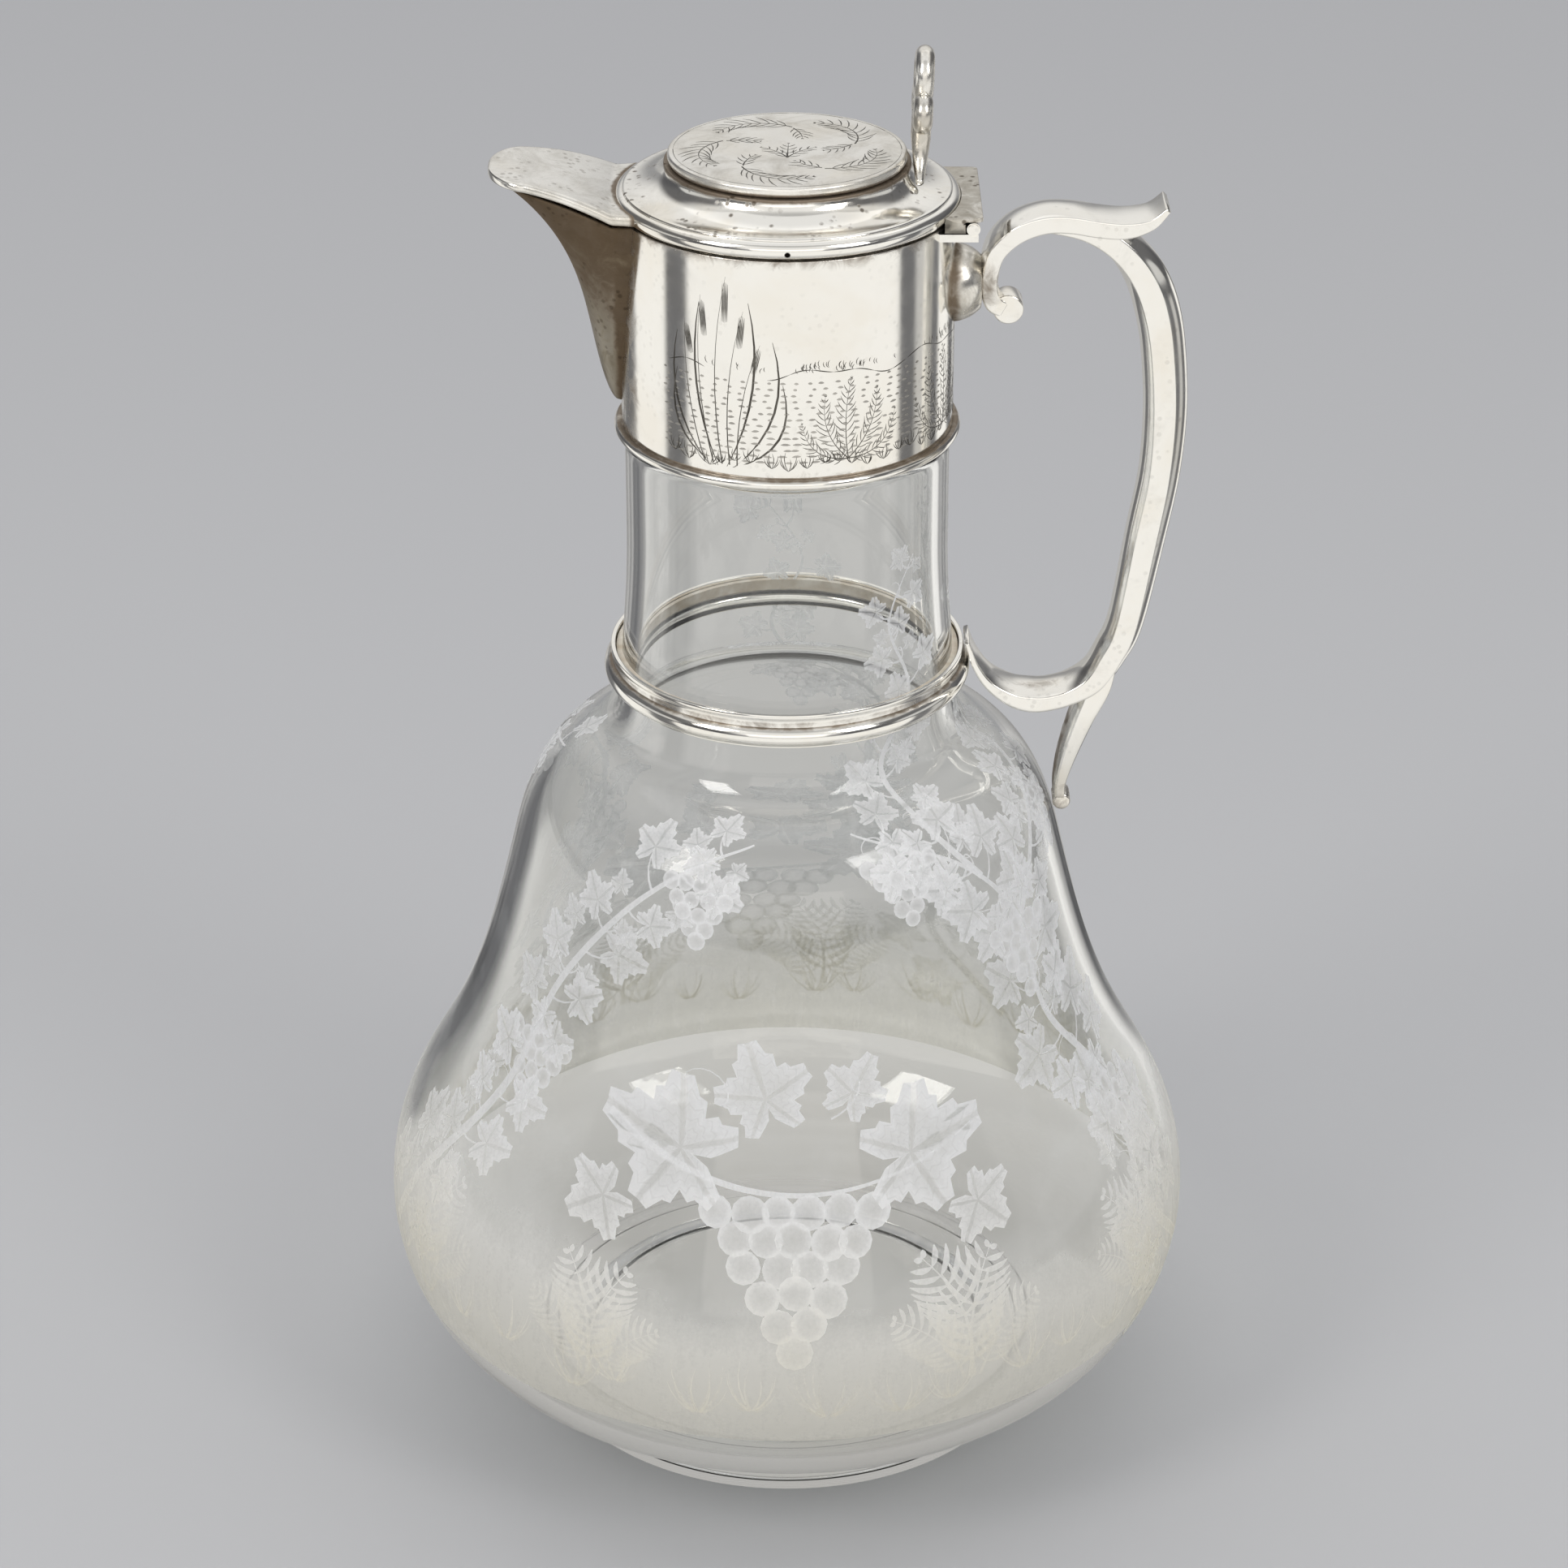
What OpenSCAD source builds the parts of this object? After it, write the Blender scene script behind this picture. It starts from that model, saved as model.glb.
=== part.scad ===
// Claret jug: a blown and cut glass bottle with a silver collar, beak spout, hinged lid and scroll handle.
// Millimetres. Z up, origin at the centre of the foot ring's underside, spout to -X, handle to +X.

/* [Bottle] */
// Outer radius of the cut foot ring at the table
foot_r = 48.8; // [44:0.2:52]
// Radius at the widest part of the belly
belly_r = 78.4; // [74:0.2:84]
// Height of the widest part of the belly
belly_z = 43.4; // [40:0.2:48]
// Radius of the round turn from the foot to the widest part
belly_turn = 35.3; // [32:0.1:36]
// Radius of the bottle at the waist below the shoulder
waist_r = 51.8; // [48:0.2:55]
// Height of that waist
waist_z = 121.3; // [116:0.1:125]
// Radius at which the shoulder turns up into the neck
shoulder_r = 35.5; // [34.5:0.1:38]
// Height of that turn
shoulder_z = 142.5; // [139:0.1:145]
// Radius of the neck at its root
root_r = 31.5; // [31:0.1:33]
// Radius of the neck below the collar
neck_r = 29.7; // [28:0.1:31]
// Thickness of the glass in the body and neck
glass_t = 2.9; // [2:0.1:4]
// Thickness of the glass under the inside
base_t = 7; // [5:0.5:10]
// How far the neck is ground back to go into the collar
seat_step = 1.5; // [1:0.1:1.8]
// Length of the ground neck inside the collar
seat_h = 14; // [8:0.5:16]

/* [Neck ring] */
// Height of the underside of the neck ring
ring_z = 153.4; // [151:0.1:158]
// Height of the neck ring's upright band
ring_h = 6.6; // [6:0.1:9]
// Thickness of the plaster between the neck and the band
ring_plaster_t = 0.5; // [0.4:0.1:1]
// Radius of the bead's round section
bead_r = 2.0; // [1.6:0.1:2.4]

/* [Collar] */
// Height of the collar's lower edge
collar_z = 203.2; // [198:0.2:210]
// Height of the collar
collar_h = 42.4; // [40:0.2:48]
// Thickness of the collar's sheet and of its neck ring band
sheet_t = 0.9; // [0.7:0.1:1.2]
// Thickness of the plaster that holds the collar
plaster_t = 1.1; // [0.8:0.1:1.5]
// Radius of the wire round the collar's foot
foot_wire_r = 0.95; // [0.7:0.05:1.3]
// Width and height of the ring inside the collar's mouth
seat_ring = 2.2; // [1.6:0.1:3]

/* [Spout] */
// How far the beak reaches out from the collar
spout_reach = 21; // [17:0.5:25]
// Half width of the beak at the collar's mouth
spout_w = 13.2; // [12:0.1:14]
// Drop of the beak's point below the collar's mouth
spout_drop = 37.6; // [34:0.2:38]
// Thickness of the beak's sheet
spout_t = 1; // [0.8:0.1:1.3]

/* [Lid] */
// Radius of the raised flat disc
disc_r = 21.4; // [19:0.2:23]
// Thickness of the disc
disc_t = 2; // [1.5:0.1:2.6]
// Radius of the half-round wire round the rim
rim_wire_r = 1.6; // [1.2:0.05:1.8]
// Rise of the dished brim from the rim wire to the disc
dish_h = 4.75; // [4:0.05:6]
// Width of the rounded edge at the outside of the brim
brim_edge = 0.6; // [0.4:0.1:1]
// Rise of the spout cover from the rim to its tip
cover_rise = 5.3; // [3.5:0.1:6.5]
// Half width of the spout cover where it meets the rim
cover_w = 15.2; // [14.4:0.1:16]
// Overhang of the cover past the beak's tip
cover_over = 2; // [1.2:0.1:3]

/* [Thumbpiece] */
// Height of the thumbpiece above its feet
thumb_h = 23.2; // [20:0.2:26]
// Thickness of its round bars
thumb_t = 3.4; // [2.8:0.1:3.8]

/* [Hinge] */
// Length of the hinge along its pin
hinge_w = 28; // [24:0.5:30]
// Outer radius of the knuckles
knuckle_r = 1.2; // [1.1:0.05:1.4]
// Radius of the pin
pin_r = 0.75; // [0.6:0.05:0.8]
// Distance of the pin outside the collar
pin_out = 2.5; // [2.4:0.05:3]
// Angle at which the lid stands in this model
lid_open = 0; // [0:5:95]

/* [Handle] */
// Depth of the handle from face to face
handle_d = 10; // [8:0.2:12]
// Reach of the grip's middle line from the axis
handle_reach = 68.6; // [64:0.2:74]
// Radius of the ball boss on the collar
boss_r = 7.2; // [6:0.1:8]
// How far the boss stands out from the collar
boss_out = 4.7; // [4:0.1:5.5]
// Depth of the boss's centre below the collar's mouth
boss_drop = 14.6; // [13:0.1:18]

/* [Fits] */
// Radial clearance of the pin in the knuckles
pin_gap = 0.05; // [0.03:0.01:0.1]
// Clearance between the moving leaves and knuckles
leaf_gap = 0.15; // [0.1:0.01:0.3]
// Clearance between the lid and the collar
lid_gap = 0.25; // [0.2:0.01:0.5]
// Clearance between the cover's tip and the beak
tip_gap = 0.35; // [0.25:0.05:0.6]
// Clearance between the handle's tail and the glass
tail_gap = 0.3; // [0.2:0.05:0.5]

/* [Hidden] */

$fn = 96;
far = 200;        // longer than any cut needs
skim = 0.01;      // overlap of cutting tools with the faces that they cut

silver = [0.80, 0.79, 0.76];
glass = [0.84, 0.88, 0.88, 0.45];
plaster = [0.88, 0.85, 0.78];

// Collar, from the ground neck outwards
seat_r = neck_r - seat_step;
drum_in = seat_r + plaster_t;
drum_r = drum_in + sheet_t;
mouth_z = collar_z + collar_h;

// Neck ring, from the root of the neck outwards
band_in = root_r + ring_plaster_t;
band_r = band_in + sheet_t;
bead_mid_r = band_r - 0.3 * bead_r;
ring_r = bead_mid_r + bead_r;

// Lid, from the collar's mouth upwards
lid_z = mouth_z + lid_gap;
shell_r = drum_r - 0.7;
rim_mid_r = shell_r - 0.1 * rim_wire_r;
rim_r = rim_mid_r + rim_wire_r;
wire_top = lid_z + 2 * rim_wire_r;
disc_z = wire_top + dish_h;
brim_r = shell_r - brim_edge;
brim_z = wire_top + 0.8 * brim_edge;
neck_out = disc_r + 0.6;
thumb_x = disc_r + 0.7 + thumb_t / 2;
thumb_z = disc_z - 0.1 * thumb_h;

// Hinge
pin_x = drum_r + pin_out;
pin_z = mouth_z + 0.1;
knuckles = 5;
knuckle_w = hinge_w / knuckles;
bore_r = pin_r + pin_gap;
leaf_top = pin_z - 0.75 * knuckle_r;
leaf_t = 1.4;
cap_z = pin_z + knuckle_r + leaf_gap;
cap_t = 0.75;
cap_end = pin_x + 1.7;

// Spout and its cover
beak_z = mouth_z - spout_drop;
beak_tip = drum_r + spout_reach;
cover_tip = beak_tip + cover_over;
cover_z = lid_z + 0.55;
cover_t = 2;
beak_gap = 0.9;

// Handle seats
boss_z = mouth_z - boss_drop;
boss_x = drum_r + boss_out;
step_in = 0.1;    // each bar of the handle is this much shallower than the one that it grows from
drawn = [33.7, 77.6];   // the handle's points are drawn this wide and this high, and stretch with its seats
stretch_x = (handle_reach - boss_x) / drawn.x;
stretch_z = (boss_z - ring_z) / drawn.y;

// ---------- curves ----------

// One cubic stretch between two knots [radius, height, lean], where lean is in degrees inwards from upright
function heading(lean) = [-sin(lean), cos(lean)];
function blend3(a, b, c, d, t) =
    pow(1 - t, 3) * a + 3 * pow(1 - t, 2) * t * b + 3 * (1 - t) * t * t * c + pow(t, 3) * d;
function stretch(a, b, steps, pull = 0.37) =
    let (p = [a.x, a.y], q = [b.x, b.y], k = norm(q - p) * pull)
    [for (i = [1:steps]) blend3(p, p + k * heading(a[2]), q - k * heading(b[2]), q, i / steps)];
function arc(cx, cz, rx, rz, from, to, steps) =
    [for (i = [0:steps]) let (w = from + (to - from) * i / steps) [cx + rx * cos(w), cz + rz * sin(w)]];

// Smooth path through points of any size, with a number of steps to each gap
function pick(list, i) = list[max(0, min(len(list) - 1, i))];
function between(a, b, c, d, t) =
    0.5 * ((2 * b) + (c - a) * t + (2 * a - 5 * b + 4 * c - d) * t * t + (3 * b - a - 3 * c + d) * t * t * t);
function smooth(list, steps) = [
    for (i = [0:len(list) - 2], j = [0:steps - 1])
        between(pick(list, i - 1), list[i], list[i + 1], pick(list, i + 2), j / steps),
    list[len(list) - 1]
];

// ---------- bottle ----------

turn_from = -80;
flank = [waist_r + 0.7 * (belly_r - waist_r), belly_z + 0.33 * (waist_z - belly_z), 31];
body_knots = [[belly_r, belly_z, 0], flank, [waist_r, waist_z, 13.5], [shoulder_r, shoulder_z, 74],
              [root_r, ring_z, 5], [neck_r, ring_z + 0.6 * (collar_z - ring_z), 0], [neck_r, collar_z, 0]];
body_steps = [7, 10, 9, 8, 5, 1];

function body_line(inset) = [
    for (p = arc(belly_r - belly_turn, belly_z, belly_turn - inset, belly_turn - inset, turn_from, 0, 14)) p,
    for (i = [0:len(body_knots) - 2])
        let (line = stretch(body_knots[i], body_knots[i + 1], body_steps[i]))
        for (j = [0:len(line) - 1])
            let (before = j == 0 ? [body_knots[i].x, body_knots[i].y] : line[j - 1],
                 after = j == len(line) - 1 ? line[j] + line[j] - before : line[j + 1],
                 way = after - before)
            line[j] - inset * [way.y, -way.x] / norm(way)
];

// Everything inside the bottle's outer surface, used to fit what touches the glass
module bottle_form() {
    rotate_extrude() polygon(concat([[0, 0], [foot_r, 0]], body_line(0), [[0, collar_z]]));
}

module glass_bottle() {
    lip = collar_z + seat_h;
    inside_r = neck_r - glass_t;
    hollow_r = foot_r - 6;
    hollow_h = 3;
    base_z = hollow_h + base_t;
    inner = body_line(glass_t);
    color(glass) rotate_extrude() polygon(concat(
        [[0, hollow_h], [hollow_r - 4, hollow_h], [hollow_r, 0], [foot_r, 0]],
        body_line(0),
        [[seat_r, collar_z], [seat_r, lip - 0.5], [seat_r - 0.5, lip], [inside_r + 0.5, lip]],
        [[inside_r, lip - 0.5]],
        [for (i = [len(inner) - 1:-1:0]) inner[i]],
        [[0.5 * foot_r, base_z + 0.3], [0, base_z]]));
}

// ---------- neck ring ----------

module neck_ring_plaster() {
    color(plaster) difference() {
        translate([0, 0, ring_z + 0.3]) cylinder(h = ring_h - 1, r = band_in);
        bottle_form();
    }
}

module neck_ring_band() {
    top = ring_z + ring_h;
    color(silver) rotate_extrude() polygon([
        [band_in, ring_z], [band_r, ring_z], [band_r, top - 1.2], [band_r + 0.25, top - 0.5],
        [band_r + 0.1, top], [band_in + 0.2, top], [band_in, top - 0.4]]);
}

module neck_ring_bead() {
    color(silver) difference() {
        rotate_extrude() translate([bead_mid_r, ring_z + bead_r + 0.2]) circle(bead_r, $fn = 32);
        translate([0, 0, ring_z - 1]) cylinder(h = ring_h + 2, r = band_r);
    }
}

// ---------- collar ----------

// Opening from the collar's mouth into the beak, as wide as the beak is inside
module pour_window() {
    low_w = 6;
    top_w = spout_w - 2.2;
    low_z = mouth_z - 0.55 * spout_drop;
    translate([-drum_r / 2, 0, low_z]) rotate([0, -90, 0]) cylinder(h = drum_r, r = low_w);
    translate([-drum_r / 2, 0, 0]) rotate([90, 0, -90])
        linear_extrude(drum_r)
            polygon([[-low_w, low_z], [low_w, low_z], [top_w, mouth_z + 1], [-top_w, mouth_z + 1]]);
}

module collar_plaster() {
    color(plaster) translate([0, 0, collar_z + 0.4]) difference() {
        cylinder(h = seat_h - 1.4, r = drum_in);
        translate([0, 0, -1]) cylinder(h = seat_h + 2, r = seat_r);
    }
}

module collar_drum() {
    color(silver) difference() {
        translate([0, 0, collar_z]) cylinder(h = collar_h, r = drum_r);
        translate([0, 0, collar_z - 1]) cylinder(h = collar_h + 2, r = drum_in);
        pour_window();
    }
}

module collar_foot_wire() {
    color(silver) difference() {
        rotate_extrude() translate([drum_r + 0.5 * foot_wire_r, collar_z + foot_wire_r])
            circle(foot_wire_r, $fn = 32);
        translate([0, 0, collar_z - 1]) cylinder(h = collar_h, r = drum_r);
    }
}

module collar_seat_ring() {
    color(silver) difference() {
        rotate_extrude() polygon([
            [drum_in, mouth_z - seat_ring - 1], [drum_in, mouth_z], [drum_in - seat_ring + 0.4, mouth_z],
            [drum_in - seat_ring, mouth_z - 0.4], [drum_in - seat_ring, mouth_z - seat_ring]]);
        pour_window();
    }
}

// ---------- spout ----------

// The cover's underside and the beak's rim below it, at a distance x out from the axis
function along(x) = max(0, min(1, (x - rim_r) / (cover_tip - rim_r)));
function cover_under(x) = let (q = along(x)) cover_z + cover_rise * q * (2 - q);
function beak_rim(x) = cover_under(x) - beak_gap + (beak_gap - tip_gap) * along(x);

// A level s of the beak runs from 0 at its point to 1 at its rim. Its reach is a quick swell and a late flare.
function beak_reach(s) = drum_r + spout_reach * (0.4 * sqrt(s) + 0.6 * pow(s, 5));
function beak_width(s) = spout_w * pow(s, 0.55);
function soft(v, power) = sign(v) * pow(abs(v), power);
function beak_level(s, inset, steps) =
    let (w = beak_width(s) - 0.9 * inset, reach = beak_reach(s) - inset,
         root = sqrt(drum_r * drum_r - w * w), power = 1.2 - 0.4 * s)
    [for (i = [0:steps])
        let (a = -90 + 180 * i / steps, x = root + (reach - root) * soft(cos(a), power))
        [-x, w * soft(sin(a), power), beak_z + s * (beak_rim(x) - beak_z)]];

// Sheet beak: an outer and an inner skin, each running up from one point, joined at the collar and the rim
module spout() {
    steps = 18;
    levels = 16;
    inner_from = 0.03;
    ring = steps + 1;
    outer = [for (j = [1:levels]) each beak_level(j / levels, 0, steps)];
    inner = [for (j = [1:levels])
        each beak_level(inner_from + (1 - inner_from) * j / levels, spout_t, steps)];
    low = 2 * ring * levels;
    points = concat(outer, inner,
        [[-drum_r, 0, beak_z], [-drum_r, 0, beak_z + inner_from * spout_drop]]);
    o = function(i, j) j * ring + i;
    n = function(i, j) (levels + j) * ring + i;
    top = levels - 1;
    faces = concat(
        [for (j = [0:top - 1], i = [0:steps - 1]) each [
            [o(i, j), o(i + 1, j + 1), o(i, j + 1)], [o(i, j), o(i + 1, j), o(i + 1, j + 1)],
            [n(i, j), n(i, j + 1), n(i + 1, j + 1)], [n(i, j), n(i + 1, j + 1), n(i + 1, j)]]],
        [for (i = [0:steps - 1]) each [
            [low, o(i + 1, 0), o(i, 0)], [low + 1, n(i, 0), n(i + 1, 0)],
            [o(i, top), n(i + 1, top), n(i, top)], [o(i, top), o(i + 1, top), n(i + 1, top)]]],
        [for (j = [0:top - 1]) each [
            [o(0, j), n(0, j + 1), n(0, j)], [o(0, j), o(0, j + 1), n(0, j + 1)],
            [o(steps, j), n(steps, j), n(steps, j + 1)], [o(steps, j), n(steps, j + 1), o(steps, j + 1)]]],
        [[low, o(0, 0), low + 1], [low + 1, o(0, 0), n(0, 0)],
         [low, low + 1, o(steps, 0)], [low + 1, n(steps, 0), o(steps, 0)]]);
    color(silver) polyhedron(points, faces);
}

// ---------- hinge ----------

module along_pin(r, from, length) {
    translate([pin_x, from, pin_z]) rotate([-90, 0, 0]) cylinder(h = length, r = r, $fn = 48);
}

// The knuckles with even numbers are on the jug and the odd ones on the lid
module knuckle_row(first, r, gap) {
    for (i = [first:2:knuckles - 1])
        along_pin(r, -hinge_w / 2 + i * knuckle_w + gap / 2, knuckle_w - gap);
}

module hinge_lower_leaf() {
    color(silver) difference() {
        translate([0, -hinge_w / 2, leaf_top - leaf_t]) cube([pin_x + 0.9, hinge_w, leaf_t]);
        translate([0, 0, leaf_top - leaf_t - 1]) cylinder(h = leaf_t + 2, r = drum_r);
        knuckle_row(0, knuckle_r, -skim);
        knuckle_row(1, knuckle_r + leaf_gap, -leaf_gap);
    }
}

module hinge_jug_knuckles() {
    color(silver) difference() {
        knuckle_row(0, knuckle_r, leaf_gap);
        along_pin(bore_r, -far / 2, far);
    }
}

module hinge_pin() {
    head_t = 0.35;
    color(silver) {
        along_pin(pin_r, -hinge_w / 2 - head_t, hinge_w + 2 * head_t);
        for (side = [-hinge_w / 2 - head_t, hinge_w / 2]) along_pin(pin_r + 0.25, side, head_t);
    }
}

// ---------- lid ----------

// Everything that turns with the lid goes through here
module on_lid() {
    translate([pin_x, 0, pin_z]) rotate([0, lid_open, 0]) translate([-pin_x, 0, -pin_z]) children();
}

// The brim turns over from the wall and then sweeps up in a hollow curve to the neck under the disc
shell_line = concat(
    [[shell_r, lid_z], [shell_r, wire_top]],
    arc(brim_r, wire_top, brim_edge, brim_z - wire_top, 20, 90, 4),
    arc(brim_r, disc_z, brim_r - neck_out, disc_z - brim_z, 263, 180, 12));

// Everything inside the lid's outer surface, used to seat the thumbpiece
module shell_form() {
    rotate_extrude() polygon(concat([[0, lid_z]], shell_line, [[0, disc_z]]));
}

module lid_shell() {
    inner_line = concat(
        [[shell_r - sheet_t, lid_z], [shell_r - sheet_t, brim_z - 1.5 * sheet_t]],
        arc(brim_r, disc_z, brim_r - neck_out + sheet_t, disc_z - brim_z + sheet_t, 264, 190, 10));
    open_r = 0.8 * disc_r;
    color(silver) on_lid() rotate_extrude() polygon(concat(
        shell_line,
        [[open_r, disc_z], [open_r, disc_z - sheet_t]],
        [for (i = [len(inner_line) - 1:-1:0]) inner_line[i]]));
}

module lid_disc() {
    edge = 0.5;
    color(silver) on_lid() rotate_extrude() polygon([
        [0, disc_z], [disc_r - edge, disc_z], [disc_r, disc_z + edge],
        [disc_r, disc_z + disc_t - 0.4 * edge], [disc_r - 0.4 * edge, disc_z + disc_t], [0, disc_z + disc_t]]);
}

module lid_rim_wire() {
    vent_r = 0.35;
    wire_z = lid_z + rim_wire_r;
    color(silver) on_lid() difference() {
        rotate_extrude() translate([rim_mid_r, wire_z]) circle(rim_wire_r, $fn = 32);
        translate([0, 0, lid_z - 1]) cylinder(h = 2 * rim_wire_r + 2, r = shell_r);
        translate([0, 0, wire_z]) rotate([90, 0, 0]) cylinder(h = rim_r + 1, r = vent_r, $fn = 24);
    }
}

module spout_cover() {
    end_x = cover_tip - 0.44 * cover_w;
    end_w = 0.71 * cover_w;
    start_x = 0.8 * drum_r;
    steps = 12;
    flank_line = [for (i = [0:5]) let (t = i / 5)
        [start_x + (end_x - start_x) * t, cover_w + 0.4 + (end_w - cover_w - 0.4) * t * (0.7 + 0.3 * t)]];
    half = concat(flank_line, [for (p = arc(end_x, 0, cover_tip - end_x, end_w, 90, 8, steps)) p]);
    plan = concat([for (p = half) [-p.x, p.y]], [[-cover_tip, 0]],
        [for (i = [len(half) - 1:-1:0]) [-half[i].x, -half[i].y]]);
    xs = [for (i = [0:steps]) start_x + (cover_tip + 1 - start_x) * i / steps];
    side = concat([for (x = xs) [-x, cover_under(x)]],
        [for (i = [steps:-1:0]) [-xs[i], cover_under(xs[i]) + cover_t - 0.5 * along(xs[i])]]);
    color(silver) on_lid() difference() {
        intersection() {
            translate([0, 0, lid_z]) linear_extrude(20) polygon(plan);
            translate([0, far / 2, 0]) rotate([90, 0, 0]) linear_extrude(far) polygon(side);
        }
        translate([0, 0, lid_z - 1]) cylinder(h = 22, r = rim_r);
    }
}

// Cast openwork scroll of round bars: two feet that lean out, two side scrolls and an open loop on top
module bar_ring(y, z, ring_radius) {
    translate([thumb_x, y, z]) rotate([0, 90, 0])
        rotate_extrude($fn = 48) translate([ring_radius, 0]) circle(thumb_t / 2, $fn = 24);
}

module bar_bend(y, z, ring_radius, from, sweep) {
    translate([thumb_x, y, z]) rotate([90, 0, 90])
        rotate([0, 0, from]) rotate_extrude(angle = sweep, $fn = 64)
            translate([ring_radius, 0]) circle(thumb_t / 2, $fn = 24);
}

module thumbpiece() {
    bar = thumb_t / 2;
    loop_r = 0.155 * thumb_h;
    loop_z = thumb_z + thumb_h - loop_r - bar;
    scroll_r = 0.085 * thumb_h;
    scroll_z = thumb_z + 0.53 * thumb_h;
    scroll_y = scroll_r + bar + 0.7;
    leg_r = 0.34 * thumb_h;
    leg_z = scroll_z - 0.62 * leg_r;
    color(silver) on_lid() difference() {
        union() {
            bar_ring(0, loop_z, loop_r);
            for (side = [-1, 1]) bar_ring(side * scroll_y, scroll_z, scroll_r);
            bar_bend(leg_r + 2, leg_z, leg_r, 140, 110);
            bar_bend(-leg_r - 2, leg_z, leg_r, -70, 110);
        }
        shell_form();
        translate([0, 0, disc_z - skim]) cylinder(h = disc_t + 2 * skim, r = disc_r + 2 * skim);
    }
}

module hinge_upper_leaf() {
    corner = 0.9;
    color(silver) on_lid() difference() {
        union() {
            hull() for (side = [-1, 1]) {
                translate([cap_end - corner, side * (hinge_w / 2 - corner), cap_z]) cylinder(h = cap_t, r = corner);
                translate([shell_r - 6, side * (hinge_w / 2 - 0.5) - 0.5, cap_z]) cube([1, 1, cap_t]);
            }
            for (i = [1:2:knuckles - 1])
                translate([pin_x - knuckle_r, -hinge_w / 2 + i * knuckle_w + leaf_gap / 2, pin_z + 0.5])
                    cube([1.5 * knuckle_r, knuckle_w - leaf_gap, cap_z - pin_z - 0.4]);
        }
        translate([0, 0, lid_z - 1]) cylinder(h = 6, r = rim_r);
        knuckle_row(1, knuckle_r, -skim);
    }
}

module hinge_lid_knuckles() {
    color(silver) on_lid() difference() {
        knuckle_row(1, knuckle_r, leaf_gap);
        along_pin(bore_r, -far / 2, far);
    }
}

// ---------- handle ----------

// Ball boss on the collar, cut flat where the handle is soldered on
module handle_boss() {
    color(silver) difference() {
        translate([drum_r - 0.7, 0, boss_z]) sphere(r = boss_r);
        translate([0, 0, boss_z - far / 2]) cylinder(h = far, r = drum_r);
        translate([boss_x, -far / 2, boss_z - far / 2]) cube(far);
    }
}

// A bar in the XZ plane through points [x, z, half thickness of its flat face, swell inwards, swell outwards].
// Its section has a flat face on each side of the handle and a crowned back and front between them.
crown = [[-1, 0], [-0.55, 0.72], [0, 1], [0.55, 0.72], [1, 0]];
function bar_section(p, way, depth) =
    let (out = [way.y, -way.x] / norm(way), y = depth / 2)
    concat(
        [for (c = crown) let (d = p[2] + p[4] * c.y) [p.x - out.x * d, c.x * y, p.y - out.y * d]],
        [for (i = [len(crown) - 1:-1:0]) let (c = crown[i], d = p[2] + p[3] * c.y)
            [p.x + out.x * d, c.x * y, p.y + out.y * d]]);

module bar(list, steps, depth) {
    line = smooth(list, steps);
    last = len(line) - 1;
    ring = 2 * len(crown);
    points = [for (i = [0:last])
        let (way = line[min(last, i + 1)] - line[max(0, i - 1)]) each bar_section(line[i], [way.x, way.y], depth)];
    polyhedron(points, concat(
        [for (i = [0:last - 1], j = [0:ring - 1]) let (k = (j + 1) % ring) each [
            [i * ring + j, i * ring + k, (i + 1) * ring + k],
            [i * ring + j, (i + 1) * ring + k, (i + 1) * ring + j]]],
        [for (j = [1:ring - 2]) each [
            [0, j + 1, j], [last * ring, last * ring + j, last * ring + j + 1]]]));
}

module volute(at, r, depth) {
    translate([at.x, depth / 2, at.y]) rotate([90, 0, 0]) cylinder(h = depth, r = r, $fn = 32);
}

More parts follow.
